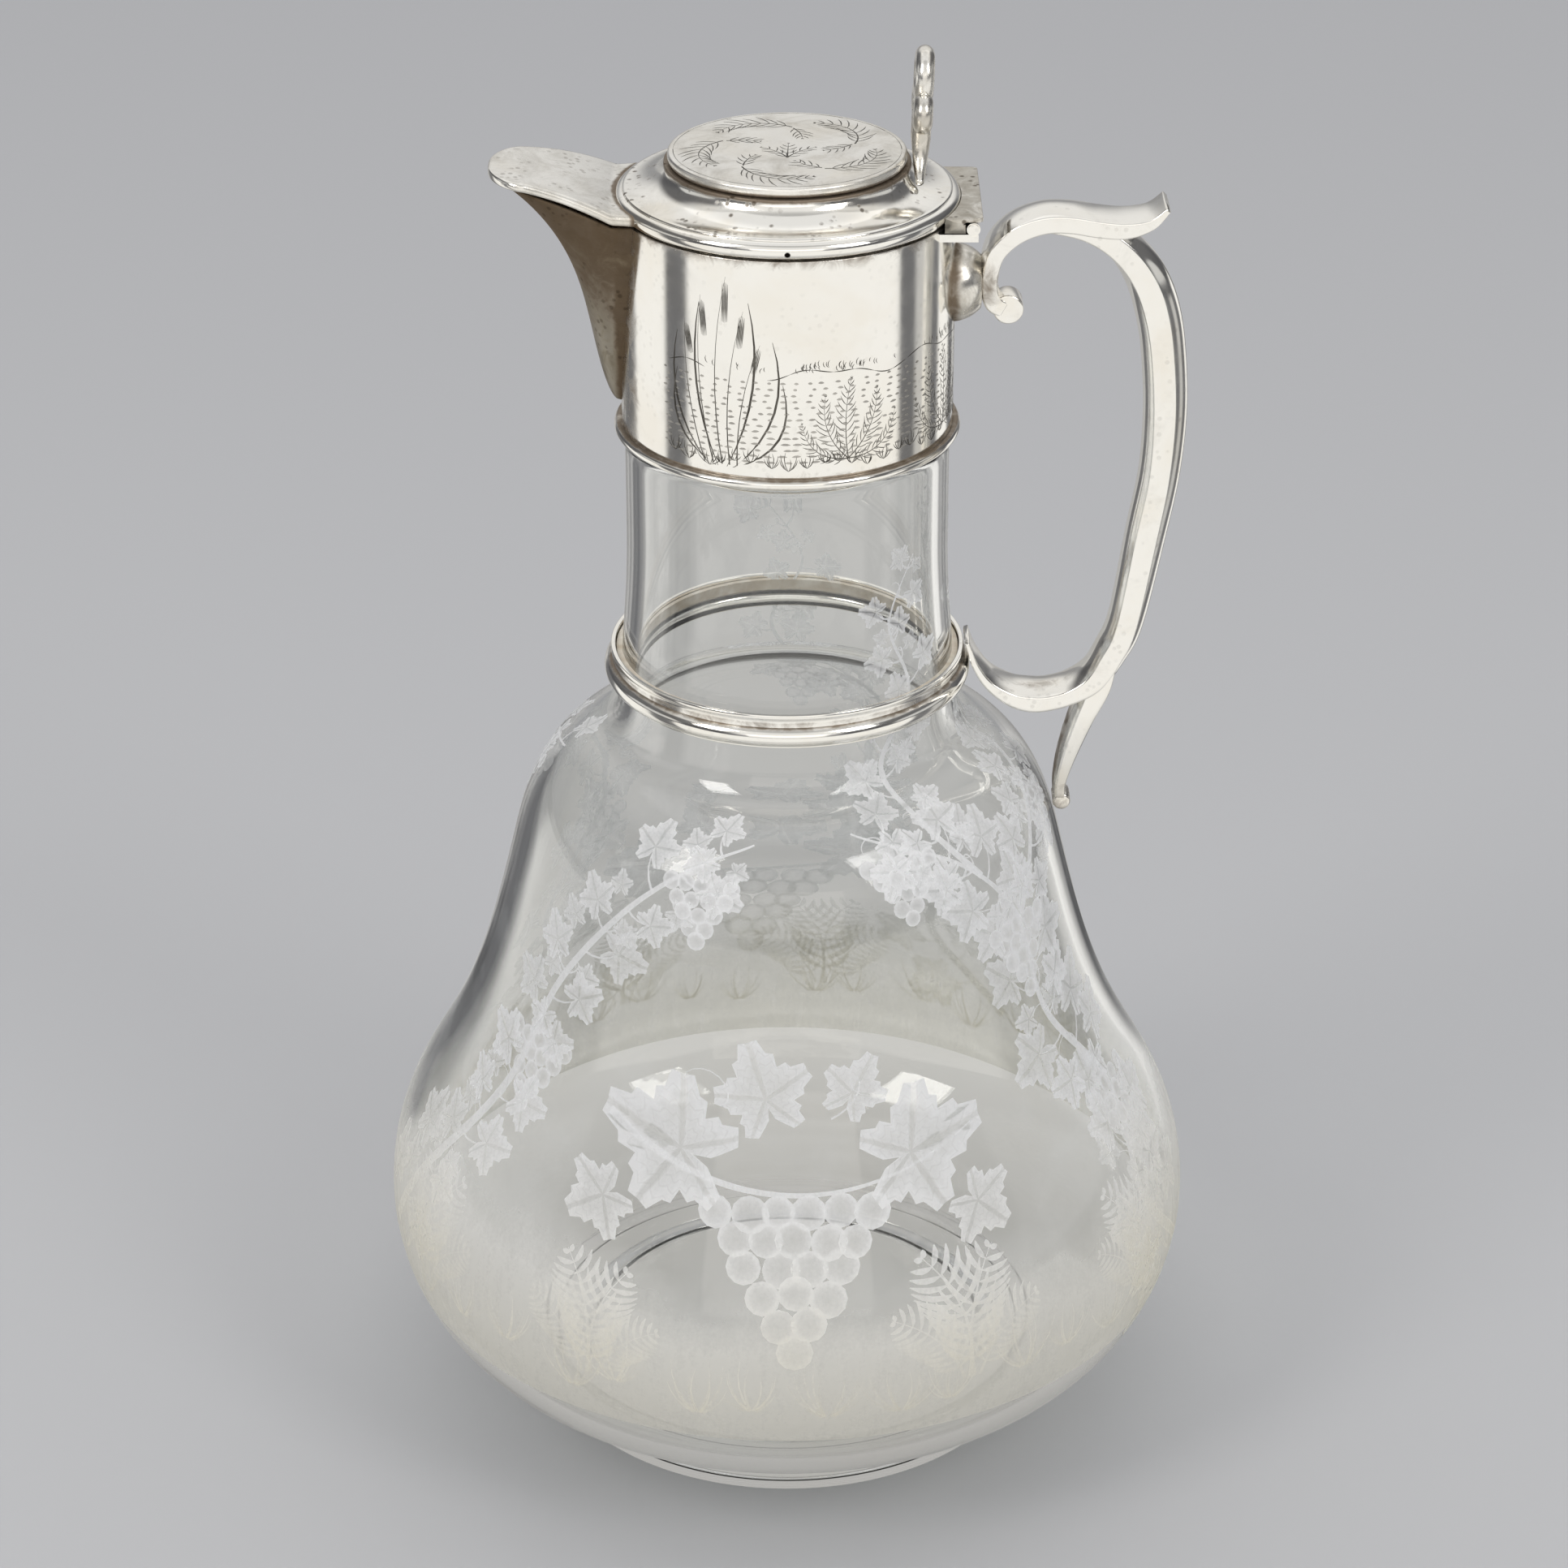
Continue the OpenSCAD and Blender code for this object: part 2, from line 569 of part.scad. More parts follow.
module handle() {
    // Points of the upper scroll are set from the boss, those of the lower scroll from the neck ring
    up = function(dx, dz) [boss_x + dx * stretch_x, boss_z + dz * stretch_z];
    down = function(dx, dz) [ring_r + dx * stretch_x, ring_z + dz * stretch_z];
    point = function(p, half, inner, outer) [p.x, p.y, half, inner, outer];
    scroll = [
        point(up(4.1, -4.4), 1.5, 0.2, 0.2), point(up(2.2, -3.2), 1.5, 0.2, 0.2),
        point(up(1.4, -0.6), 1.4, 0.3, 0.3), point(up(1.5, 3), 1.4, 0.4, 0.4),
        point(up(2.7, 7), 1.5, 0.5, 0.4), point(up(6.1, 10.3), 1.6, 0.6, 0.4),
        point(up(13.2, 12.3), 1.6, 0.8, 0.4), point(up(18.2, 11.3), 1.75, 0.8, 0.3),
        point(up(22.8, 8.9), 1.95, 1, 0.5), point(up(26.6, 5.2), 2.1, 1.5, 1),
        point(up(29.4, 0.9), 2.15, 2, 1.4), point(up(31.4, -4.6), 2.15, 2.3, 1.6),
        point(up(32.8, -12), 2.1, 2.4, 1.6), point(up(drawn.x, -24), 2.05, 2.4, 1.6),
        point(down(33.8, 41), 1.9, 2.3, 1.6),
        point(down(31.8, 28.4), 2, 2.1, 1.5), point(down(28.9, 11.1), 1.9, 1.7, 1.3),
        point(down(26.3, 4.4), 1.9, 1.4, 1.1), point(down(23.2, -0.7), 1.8, 0.9, 0.8),
        point(down(19.1, -3.4), 1.5, 0.8, 0.6), point(down(15, -4.7), 1.5, 0.8, 0.6),
        point(down(11.4, -4.9), 1.6, 0.7, 0.5), point(down(7.6, -3.9), 1.3, 0.5, 0.4),
        point(down(3.6, -1.1), 0.9, 0.3, 0.3), point(down(0.9, 2.9), 0.6, 0.2, 0.2),
        point(down(-0.7, 7.4), 0.4, 0.1, 0.1)];
    thumb_rest = [
        point(up(15.8, 11.5), 0.8, 0.1, 0.1), point(up(20.6, 11.6), 1.3, 0.1, 0.2),
        point(up(25.4, 11), 1.5, 0.1, 0.3), point(up(29.9, 12.1), 0.9, 0.2, 0.2),
        point(up(32.8, 14.9), 0.5, 0.1, 0.1)];
    tail_x = waist_r + 0.1 + tail_gap;
    tail_z = waist_z + 5.6;
    tail = [
        point(down(26.3, 4.2), 1.2, 0.2, 0.2), point(down(24.4, -1.8), 1.9, 0.6, 1),
        point(down(21.6, -8.6), 1.6, 0.8, 0.9), point([tail_x + 1.2, tail_z + 10.4], 1.3, 0.7, 0.7),
        point([tail_x - 0.2, tail_z + 4.4], 1, 0.4, 0.4), point([tail_x - 0.3, tail_z + 1], 1, 0.2, 0.2)];
    color(silver) difference() {
        union() {
            bar(scroll, 3, handle_d);
            bar(thumb_rest, 4, handle_d - step_in);
            bar(tail, 3, handle_d - step_in);
            volute(up(5, -4.4), 2.2, handle_d - step_in);
            volute([tail_x + 0.1, tail_z], 1.7, handle_d - 2 * step_in);
        }
        translate([boss_x - far, -far / 2, boss_z - 1.3 * boss_r]) cube([far, far, 2.6 * boss_r]);
        translate([0, 0, ring_z - ring_h]) cylinder(h = 3 * ring_h, r = band_r + 0.25);
        translate([0, 0, ring_z + 0.2]) cylinder(h = 2 * bead_r, r = ring_r);
    }
}

glass_bottle();
neck_ring_plaster();
neck_ring_band();
neck_ring_bead();
collar_plaster();
collar_drum();
collar_foot_wire();
collar_seat_ring();
spout();
hinge_lower_leaf();
hinge_jug_knuckles();
hinge_pin();
handle_boss();
handle();
lid_shell();
lid_disc();
lid_rim_wire();
spout_cover();
thumbpiece();
hinge_upper_leaf();
hinge_lid_knuckles();
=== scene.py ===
import math

import bmesh
import bpy
import numpy as np
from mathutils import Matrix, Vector


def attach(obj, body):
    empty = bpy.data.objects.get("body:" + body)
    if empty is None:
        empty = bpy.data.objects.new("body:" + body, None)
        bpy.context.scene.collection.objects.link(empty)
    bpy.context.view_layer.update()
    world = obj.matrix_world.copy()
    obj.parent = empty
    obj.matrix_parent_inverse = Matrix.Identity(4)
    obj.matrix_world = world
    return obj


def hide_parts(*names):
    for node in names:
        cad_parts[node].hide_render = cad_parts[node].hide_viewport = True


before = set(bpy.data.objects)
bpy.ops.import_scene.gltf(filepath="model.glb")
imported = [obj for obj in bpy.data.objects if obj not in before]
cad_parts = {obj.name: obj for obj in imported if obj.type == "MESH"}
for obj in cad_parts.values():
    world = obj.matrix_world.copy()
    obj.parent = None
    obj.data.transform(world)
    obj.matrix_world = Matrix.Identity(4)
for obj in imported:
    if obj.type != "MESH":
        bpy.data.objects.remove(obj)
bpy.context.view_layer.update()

mm = 0.001
rng = np.random.default_rng(7)


# shared mesh tools

# Points in mm and four-cornered faces become one object. Faces are turned so that they look away from centre.
# Points that meet are merged, which closes seams and poles, unless the piece is a set of loose leaves or strokes.
# What else is named, such as the dirt-and-shade mask, becomes a point attribute that the piece's material reads.
def addPiece(name, points, faces, body, material, nodes=(), slotName="silver", uv=None, centre=None, merge=True,
             smooth=True, **attributes):
    points = np.asarray(points, float).reshape(-1, 3)
    faces = np.asarray(faces, int)
    middle = points.mean(0) if centre is None else np.asarray(centre, float)
    a, b, c, d = (points[faces[:, k]] for k in range(4))
    if np.sum(np.cross(c - a, d - b) * ((a + c) / 2 - middle)) < 0:
        faces = faces[:, ::-1]
    mesh = bpy.data.meshes.new(name)
    mesh.from_pydata((points * mm).tolist(), [], faces.tolist())
    if uv is not None:
        layer = mesh.uv_layers.new(name="UVMap")
        layer.data.foreach_set("uv", np.asarray(uv, float).reshape(-1, 2)[faces.ravel()].ravel())
    for key, values in attributes.items():
        mesh.attributes.new(key, "FLOAT", "POINT").data.foreach_set("value", np.asarray(values, float).ravel())
    if merge:
        work = bmesh.new()
        work.from_mesh(mesh)
        bmesh.ops.remove_doubles(work, verts=work.verts, dist=2e-7)
        work.to_mesh(mesh)
        work.free()
    mesh.polygons.foreach_set("use_smooth", [smooth] * len(mesh.polygons))
    piece = bpy.data.objects.new(name, mesh)
    bpy.context.scene.collection.objects.link(piece)
    mesh.materials.append(material)
    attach(piece, body)
    if nodes:
        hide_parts(*nodes)
    return piece


# 0 at start, 1 at stop and even between them
def ramp(value, start, stop):
    return np.clip((value - start) / (stop - start), 0, 1)


# Faces of a grid with rows x columns points
def gridFaces(rows, columns):
    i, j = np.meshgrid(np.arange(rows - 1), np.arange(columns - 1), indexing="ij")
    k = i * columns + j
    return np.stack([k, k + 1, k + columns + 1, k + columns], -1).reshape(-1, 4)


# Angles that go once round
def circle(steps):
    return np.linspace(0, 2 * np.pi, steps + 1)


# Points about Z: x = r cos a, y = r sin a
def around(a, r, z):
    return np.stack([r * np.cos(a), r * np.sin(a), z + 0 * a], -1)


# A profile of (radius, height) points turned about Z
def lathe(profile, turns=240):
    return around(circle(turns), profile[:, :1], profile[:, 1:])


def unit(v):
    return v / np.linalg.norm(v, axis=1)[:, None]


# The distance along a line at each of its points
def lengths(line):
    return np.r_[0, np.cumsum(np.linalg.norm(np.diff(line, axis=0), axis=1))]


# Corners [r, z, radius of rounding] become a closed line. Each corner c is the curve (1-t)^2 a + 2t(1-t) c + t^2 b
# between the points a and b that lie one rounding before and after it, and long edges get points near their ends.
def roundedLine(corners, steps=6, closed=True):
    corners = [np.array(c, float) for c in corners]
    count = len(corners)
    line = []
    t = np.linspace(0, 1, steps + 1)[:, None]
    for k, c in enumerate(corners):
        if not closed and k in (0, count - 1):
            line.append(c[None, :2])
            continue
        before, after = corners[k - 1][:2], corners[(k + 1) % count][:2]
        inWay, outWay = before - c[:2], after - c[:2]
        a = c[:2] + inWay / np.linalg.norm(inWay) * c[2]
        b = c[:2] + outWay / np.linalg.norm(outWay) * c[2]
        line.append((1 - t) ** 2 * a + 2 * t * (1 - t) * c[:2] + t ** 2 * b)
    line = np.concatenate(line)
    if closed:
        line = np.r_[line, line[:1]]
    return supported(line)


# Extra points beside each end of a long edge, so that a rounding's shading stays beside it
def supported(line, longEdge=0.6):
    out = [line[:1]]
    for a, b in zip(line[:-1], line[1:]):
        size = np.linalg.norm(b - a)
        if size > longEdge:
            near = min(0.18 / size, 0.25)
            inner = np.linspace(near, 1 - near, max(2, int(size / 2.5) + 1))[:, None]
            out.append(a + (b - a) * inner)
        out.append(b[None])
    return np.concatenate(out)


# A smooth path through knots of any size, with a number of steps to each gap
def smoothPath(knots, steps):
    knots = np.asarray(knots, float)
    padded = np.concatenate([knots[:1], knots, knots[-1:]])
    a, b, c, d = (padded[k:len(knots) - 1 + k, None] for k in range(4))
    t = np.linspace(0, 1, steps, endpoint=False)[None, :, None]
    path = 0.5 * (2 * b + (c - a) * t + (2 * a - 5 * b + 4 * c - d) * t ** 2 + (3 * b - a - 3 * c + d) * t ** 3)
    return np.concatenate([path.reshape(-1, knots.shape[1]), knots[-1:]])


# A closed tube of round section: at each point of the path, c + r (cos a n + sin a m), with a rounded end
def roundBar(path, radius, sides=28, closed=False):
    path = np.asarray(path, float)
    if closed:
        way = np.roll(path, -1, 0) - np.roll(path, 1, 0)
    else:
        way = np.gradient(path, axis=0)
    way = unit(way)
    side = unit(np.cross(way, [1.0, 0, 0]))
    up = np.cross(way, side)
    radius = np.broadcast_to(radius, len(path)).astype(float)
    centre = path
    if not closed:
        w = np.linspace(0, np.pi / 2, 7)[:-1]
        headC = path[0] - way[0] * (radius[0] * np.cos(w))[:, None]
        tailC = path[-1] + way[-1] * (radius[-1] * np.cos(w[::-1]))[:, None]
        centre = np.r_[headC, path, tailC]
        side, up = (np.r_[np.repeat(v[:1], 6, 0), v, np.repeat(v[-1:], 6, 0)] for v in (side, up))
        radius = np.r_[radius[0] * np.sin(w), radius, radius[-1] * np.sin(w[::-1])]
    a = circle(sides)
    ring = side[:, None] * np.cos(a)[None, :, None] + up[:, None] * np.sin(a)[None, :, None]
    grid = centre[:, None] + ring * radius[:, None, None]
    return np.concatenate([grid, grid[:1]]) if closed else grid


def addGrid(name, grid, body, material, **facts):
    return addPiece(name, grid, gridFaces(*grid.shape[:2]), body, material, **facts)


# Both ends of a grid of rings drawn to a point in their middle
def closedEnds(grid):
    start, stop = (grid[k:k + 1].mean(1, keepdims=True) + 0 * grid[:1] for k in (0, len(grid) - 1))
    return np.concatenate([start, grid, stop])


# Several grids as one mesh
def addGrids(name, grids, body, material, uvs=None, **facts):
    points, faces, start = [], [], 0
    for g in grids:
        points.append(g.reshape(-1, 3))
        faces.append(gridFaces(*g.shape[:2]) + start)
        start += len(points[-1])
    uv = None if uvs is None else np.concatenate([u.reshape(-1, 2) for u in uvs])
    return addPiece(name, np.concatenate(points), np.concatenate(faces), body, material, uv=uv, **facts)


# shader groups

def startGroup(name, inputs, outputs):
    group = bpy.data.node_groups.new(name, "ShaderNodeTree")
    for title, kind, value in inputs:
        socket = group.interface.new_socket(name=title, in_out="INPUT", socket_type="NodeSocket" + kind)
        socket.default_value = value
    for title, kind in outputs:
        group.interface.new_socket(name=title, in_out="OUTPUT", socket_type="NodeSocket" + kind)
    return group, group.nodes.new("NodeGroupInput"), group.nodes.new("NodeGroupOutput")


# Small writer for node trees: each method adds a node and gives back its output
class Nodes:
    def __init__(self, tree):
        self.tree = tree

    def put(self, socket, value):
        if isinstance(value, bpy.types.NodeSocket):
            self.tree.links.new(value, socket)
        else:
            socket.default_value = value

    def fill(self, node, **values):
        for key, value in values.items():
            self.put(node.inputs[key.replace("_", " ")], value)

    def add(self, kind, out=0, settings=None, **values):
        node = self.tree.nodes.new("ShaderNode" + kind)
        for key, value in (settings or {}).items():
            setattr(node, key, value)
        self.fill(node, **values)
        return node.outputs[out]

    def place(self):
        return self.add("TexCoord", 3)      # Object coordinates, in metres

    def math(self, operation, a, b=0.5, c=0.5, clamp=False):
        node = self.tree.nodes.new("ShaderNodeMath")
        node.operation, node.use_clamp = operation, clamp
        for socket, value in zip(node.inputs, (a, b, c)):
            self.put(socket, value)
        return node.outputs[0]

    def times(self, a, b, clamp=False):
        return self.math("MULTIPLY", a, b, clamp=clamp)

    def plus(self, a, b, clamp=False):
        return self.math("ADD", a, b, clamp=clamp)

    def minus(self, a, b):
        return self.math("SUBTRACT", a, b)

    def span(self, value, low, high, toLow=0.0, toHigh=1.0, smooth=False):
        kind = {"interpolation_type": "SMOOTHSTEP" if smooth else "LINEAR"}
        return self.add("MapRange", 0, kind, Value=value, From_Min=low, From_Max=high, To_Min=toLow, To_Max=toHigh)

    def noise(self, vector, scale, detail=3.0, rough=0.55, warp=0.0):
        return self.add("TexNoise", Vector=vector, Scale=scale, Detail=detail, Roughness=rough, Distortion=warp)

    def stretch(self, vector, scale, turn=(0, 0, 0)):
        return self.add("Mapping", Vector=vector, Scale=scale, Rotation=turn)

    def mix(self, factor, a, b):
        node = self.tree.nodes.new("ShaderNodeMix")
        node.data_type = "RGBA"
        for k, value in ((0, factor), (6, a), (7, b)):
            self.put(node.inputs[k], value)
        return node.outputs[2]

    def blend(self, factor, first, second):
        node = self.tree.nodes.new("ShaderNodeMixShader")
        for socket, value in zip(node.inputs, (factor, first, second)):
            self.put(socket, value)
        return node.outputs[0]

    def show(self, shader):
        self.tree.links.new(shader, self.tree.nodes["Material Output"].inputs["Surface"])

    def group(self, group, **values):
        node = self.tree.nodes.new("ShaderNodeGroup")
        node.node_tree = group
        self.fill(node, **values)
        return node.outputs


# Silver that has been polished for a century: a soft cloud of yellow tarnish, grey-brown patches where the polish
# is worn (Stain), brown in the dirt-and-shade mask, which is dirt and also painted shade in creases, joins and under
# overhangs, a fine swirl of scratches and small dark pits (Pits).
def makeSilverAge():
    group, into, out = startGroup("silverAge", [
        ("Vector", "Vector", (0, 0, 0)), ("Grime", "Float", 0.0), ("Tarnish", "Float", 0.3),
        ("Pits", "Float", 0.0), ("Stain", "Float", 0.1), ("Polish", "Float", 0.1)],
        [("Color", "Color"), ("Roughness", "Float"), ("Height", "Float")])
    n, given = Nodes(group), into.outputs
    vector = given["Vector"]
    cloud = n.noise(vector, 55.0, 4.0, 0.6, 0.4)
    patch = n.noise(vector, 240.0, 5.0, 0.65, 0.8)
    grimeEdge = n.plus(given["Grime"], n.times(n.minus(patch, 0.5), 0.9))
    grime = n.times(n.span(grimeEdge, 0.32, 0.85, smooth=True), n.span(given["Grime"], 0.0, 0.2))
    tarnish = n.times(n.span(cloud, 0.42, 0.72, smooth=True), given["Tarnish"])
    spots = n.add("TexVoronoi", 0, Vector=vector, Scale=620.0, Randomness=1.0)
    scatter = n.span(n.noise(vector, 130.0, 3.0, 0.6), 0.45, 0.60, smooth=True)
    pit = n.times(n.times(n.span(spots, 0.34, 0.20), scatter), given["Pits"], clamp=True)
    bright = n.mix(tarnish, (0.94, 0.925, 0.885, 1), (0.80, 0.71, 0.55, 1))
    worn = n.plus(n.noise(vector, 95.0, 6.0, 0.72, 0.6), n.times(given["Stain"], 0.42))
    worn = n.times(n.span(worn, 0.58, 0.86, smooth=True), given["Stain"], clamp=True)
    mottle = n.mix(n.span(patch, 0.35, 0.65), (0.27, 0.235, 0.175, 1), (0.47, 0.44, 0.38, 1))
    bright = n.mix(worn, bright, mottle)
    # dirt and painted shade: dark brown where the mask says
    dirtiedAndShaded = n.mix(n.times(grime, 0.88), bright, (0.17, 0.12, 0.075, 1))
    color = n.mix(n.times(pit, 0.8), dirtiedAndShaded, (0.10, 0.075, 0.05, 1))
    fine = n.noise(n.stretch(vector, (1.0, 1.0, 9.0), (0.5, 0.3, 0.2)), 900.0, 2.0, 0.6)
    smear = n.noise(vector, 90.0, 5.0, 0.7, 1.2)
    rough = given["Polish"]
    for mask, share in ((n.span(smear, 0.4, 0.75), 0.10), (n.span(fine, 0.55, 0.8), 0.06), (grime, 0.38),
                        (worn, 0.20), (pit, 0.3)):
        rough = n.plus(rough, n.times(mask, share), clamp=True)
    height = n.minus(n.times(fine, 0.18), pit)
    n.fill(out, Color=color, Roughness=rough, Height=height)
    return group


silverAge = makeSilverAge()


def startMaterial(name):
    material = bpy.data.materials.new(name)
    material.use_nodes = True
    n = Nodes(material.node_tree)
    shader = material.node_tree.nodes["Principled BSDF"]
    return material, n, shader


# One silver finish for each place, from the same group. A piece's own dirt-and-shade attribute says where dirt stays
# and where shade is painted, polish is the least roughness, dents the depth of the soft knocks and bumps that of the
# scratches and pits.
def silverFinish(name, tarnish=0.3, pits=0.0, polish=0.09, grimeGain=1.0, dents=0.0, stain=0.1, bumps=0.12):
    material, n, shader = startMaterial(name)
    place = n.place()
    grime = n.times(n.add("Attribute", 2, {"attribute_name": "grime"}), grimeGain)
    aged = n.group(silverAge, Vector=place, Grime=grime, Tarnish=tarnish, Pits=pits, Polish=polish, Stain=stain)
    fineBump = n.add("Bump", Strength=bumps, Distance=0.00002, Height=aged["Height"])
    wave = n.noise(place, 38.0, 1.0, 0.4)
    bump = n.add("Bump", Strength=0.5, Distance=0.0004 * (0.25 + dents), Height=wave, Normal=fineBump)
    n.fill(shader, Base_Color=aged["Color"], Roughness=aged["Roughness"], Metallic=1.0, Normal=bump)
    return material


drumSilver = silverFinish("collarSilver", tarnish=0.20, pits=0.08, polish=0.085)
lidSilver = silverFinish("lidSilver", tarnish=0.35, pits=1.1, polish=0.11, stain=0.24)
discSilver = silverFinish("discSilver", tarnish=0.25, pits=0.05, polish=0.30, stain=0.42, bumps=0.05)
coverSilver = silverFinish("coverSilver", pits=0.5, polish=0.16, stain=0.40)
spoutSilver = silverFinish("spoutSilver", tarnish=0.9, pits=0.5, polish=0.20, grimeGain=1.2, stain=1.0)
castSilver = silverFinish("castSilver", tarnish=0.28, pits=0.15, polish=0.10, dents=0.2, stain=0.18)
# The thumbpiece's heavy stain is partly tarnish and partly a painted dark reflection; the boss shares it.
thumbSilver = silverFinish("thumbSilver", tarnish=0.35, pits=0.05, polish=0.16, stain=0.55, bumps=0.04)
leafSilver = silverFinish("leafSilver", tarnish=0.5, pits=0.9, polish=0.26, stain=0.75)
wireSilver = silverFinish("wireSilver", tarnish=0.25, pits=0.10, polish=0.085, stain=0.15)


# Set plaster that beds the mounts on the neck
def plasterFinish(pale=(0.74, 0.69, 0.60, 1), dark=(0.55, 0.47, 0.36, 1)):
    material, n, shader = startMaterial("plaster")
    tone = n.mix(n.span(n.noise(n.place(), 300.0, 4.0), 0.35, 0.65), pale, dark)
    n.fill(shader, Base_Color=tone, Roughness=0.85)
    return material


plaster = plasterFinish()
print("materials ready")

# bottle

bottle = {"footR": 48.8, "bellyR": 78.4, "bellyZ": 43.4, "turn": 35.3, "waistR": 51.8, "waistZ": 121.3,
          "shoulderR": 35.5, "shoulderZ": 142.5, "rootR": 31.5, "neckR": 29.7, "wall": 2.9, "ringZ": 153.4,
          "collarZ": 203.2, "baseZ": 10.0, "hollowH": 3.0, "seatR": 28.2, "lipZ": 217.2, "turns": 200}
clearGlass = {"ior": 1.50, "tint": (0.985, 0.99, 0.985, 1), "paintedWarmLight": (0.965, 0.955, 0.925, 1),
              "paintedEdgeShade": (0.60, 0.615, 0.61, 1), "shadow": (0.84, 0.85, 0.845, 1), "smear": 0.06, "wave": 0.0006}


# The outside: a round turn c + R (cos a, sin a), then cubic stretches between knots [r, z, lean inwards in degrees]
def bottleLine(b):
    a = np.radians(np.linspace(-80, 0, 46))
    line = [np.stack([b["bellyR"] - b["turn"] + b["turn"] * np.cos(a), b["bellyZ"] + b["turn"] * np.sin(a)], -1)]
    knots = [[b["bellyR"], b["bellyZ"], 0],
             [b["waistR"] + 0.7 * (b["bellyR"] - b["waistR"]), b["bellyZ"] + 0.33 * (b["waistZ"] - b["bellyZ"]), 31],
             [b["waistR"], b["waistZ"], 13.5], [b["shoulderR"], b["shoulderZ"], 74], [b["rootR"], b["ringZ"], 5],
             [b["neckR"], b["ringZ"] + 0.6 * (b["collarZ"] - b["ringZ"]), 0], [b["neckR"], b["collarZ"], 0]]
    t = np.linspace(0, 1, 31)[1:, None]
    for (r0, z0, lean0), (r1, z1, lean1) in zip(knots[:-1], knots[1:]):
        p, q = np.array([r0, z0]), np.array([r1, z1])
        pull = 0.37 * np.linalg.norm(q - p)
        u, v = (np.array([-math.sin(math.radians(w)), math.cos(math.radians(w))]) * pull for w in (lean0, lean1))
        line.append((1 - t) ** 3 * p + 3 * (1 - t) ** 2 * t * (p + u) + 3 * (1 - t) * t ** 2 * (q - v) + t ** 3 * q)
    line = np.concatenate(line)
    way = lengths(line)
    even = np.linspace(0, way[-1], 330)
    line = np.stack([np.interp(even, way, line[:, 0]), np.interp(even, way, line[:, 1])], -1)
    for _ in range(14):     # each pass evens out the curvature a little
        line[1:-1] = 0.5 * line[1:-1] + 0.25 * (line[:-2] + line[2:])
    return line


outerLine = bottleLine(bottle)
outerWay = unit(np.gradient(outerLine, axis=0))
outerNormal = np.stack([outerWay[:, 1], -outerWay[:, 0]], -1)
outerLength = lengths(outerLine)


# The point on the glass at angle a, a distance s up its side from the foot, lifted off it: line(s) + lift normal(s)
def glassPoint(a, s, lift):
    r, z = (np.interp(s, outerLength, outerLine[:, k]) + lift * np.interp(s, outerLength, outerNormal[:, k])
            for k in (0, 1))
    return around(a, r, z)


def heightToWay(z):
    return np.interp(z, outerLine[:, 1], outerLength)


def wayToRadius(s):
    return np.interp(s, outerLength, outerLine[:, 0])


# Clear glass that is a little greyer where it is seen edge on, painted shade for its dark refraction there, with a
# faint warm tone painted low down as warm light, smears and the slow wave of blown glass. Light passes through it to
# the table with only a light shadow.
def makeGlass(g):
    material, n, shader = startMaterial("blownGlass")
    place = n.place()
    height = n.add("SeparateXYZ", 2, Vector=place)
    # painted warm light, patchy, on the glass low down
    warm = n.times(n.span(height, 0.075, 0.0, smooth=True), n.span(n.noise(place, 20.0), 0.3, 0.7))
    # painted shade where the glass is seen edge on
    grazing = n.math("POWER", n.add("LayerWeight", 1, Blend=0.5), 4.0)
    tint = n.mix(grazing, n.mix(warm, g["tint"], g["paintedWarmLight"]), g["paintedEdgeShade"])
    smear = n.noise(n.stretch(place, (1, 1, 0.35)), 60.0, 5.0, 0.7, 1.0)
    wave = n.noise(n.stretch(place, (1, 1, 0.5)), 16.0, 1.0, 0.4)
    n.fill(shader, Base_Color=tint, Roughness=n.span(smear, 0.52, 0.85, 0.0, g["smear"]), IOR=g["ior"],
           Transmission_Weight=1.0, Normal=n.add("Bump", Strength=0.35, Distance=g["wave"], Height=wave))
    n.show(n.blend(n.add("LightPath", 1), shader.outputs[0], n.add("BsdfTransparent", Color=g["shadow"])))
    return material


# The wall as one closed profile: foot, outside, lip, inside, and the floor of the inside
def glassProfile(b):
    outside = outerLine[::2]
    inside = (outerLine - b["wall"] * outerNormal)[::2]
    inside = inside[inside[:, 1] > b["baseZ"] + 1.0]
    insideR = b["neckR"] - b["wall"]
    foot = roundedLine([[0, b["hollowH"], 0], [b["footR"] - 10, b["hollowH"], 3], [b["footR"] - 6, 0, 0.8],
                        [b["footR"], 0, 0.6], [*outside[0], 0]], closed=False)[:-1]
    lip = roundedLine([[b["neckR"], b["collarZ"], 0.2], [b["seatR"], b["collarZ"] + 0.1, 0.2],
                       [b["seatR"], b["lipZ"], 0.6], [insideR, b["lipZ"], 0.6], [*inside[-1], 0]], closed=False)
    base = smoothPath([inside[0], [inside[0][0] - 6, b["baseZ"] + 0.2], [0.5 * b["footR"], b["baseZ"] + 0.3],
                       [0, b["baseZ"]]], 8)
    return np.concatenate([foot, outside[:-1], lip[1:-1], inside[::-1], base[1:]])


glassBottle = addGrid("glassBottle", lathe(glassProfile(bottle), bottle["turns"]), "jug", makeGlass(clearGlass),
                      nodes=["glass_bottle"], slotName="glass", centre=(0, 0, 100))
print("bottle", len(glassBottle.data.polygons))

# neck ring

ring = {"z": 153.4, "h": 6.6, "inR": 32.0, "outR": 32.9, "beadR": 2.0, "beadMid": 32.3}


# A wire of round section: x = (R + r cos w) cos a, y = (R + r cos w) sin a, z = r sin w
def wireLine(middle, height, radius, steps=36):
    w = circle(steps)
    return np.stack([middle + radius * np.cos(w), height + radius * np.sin(w)], -1)


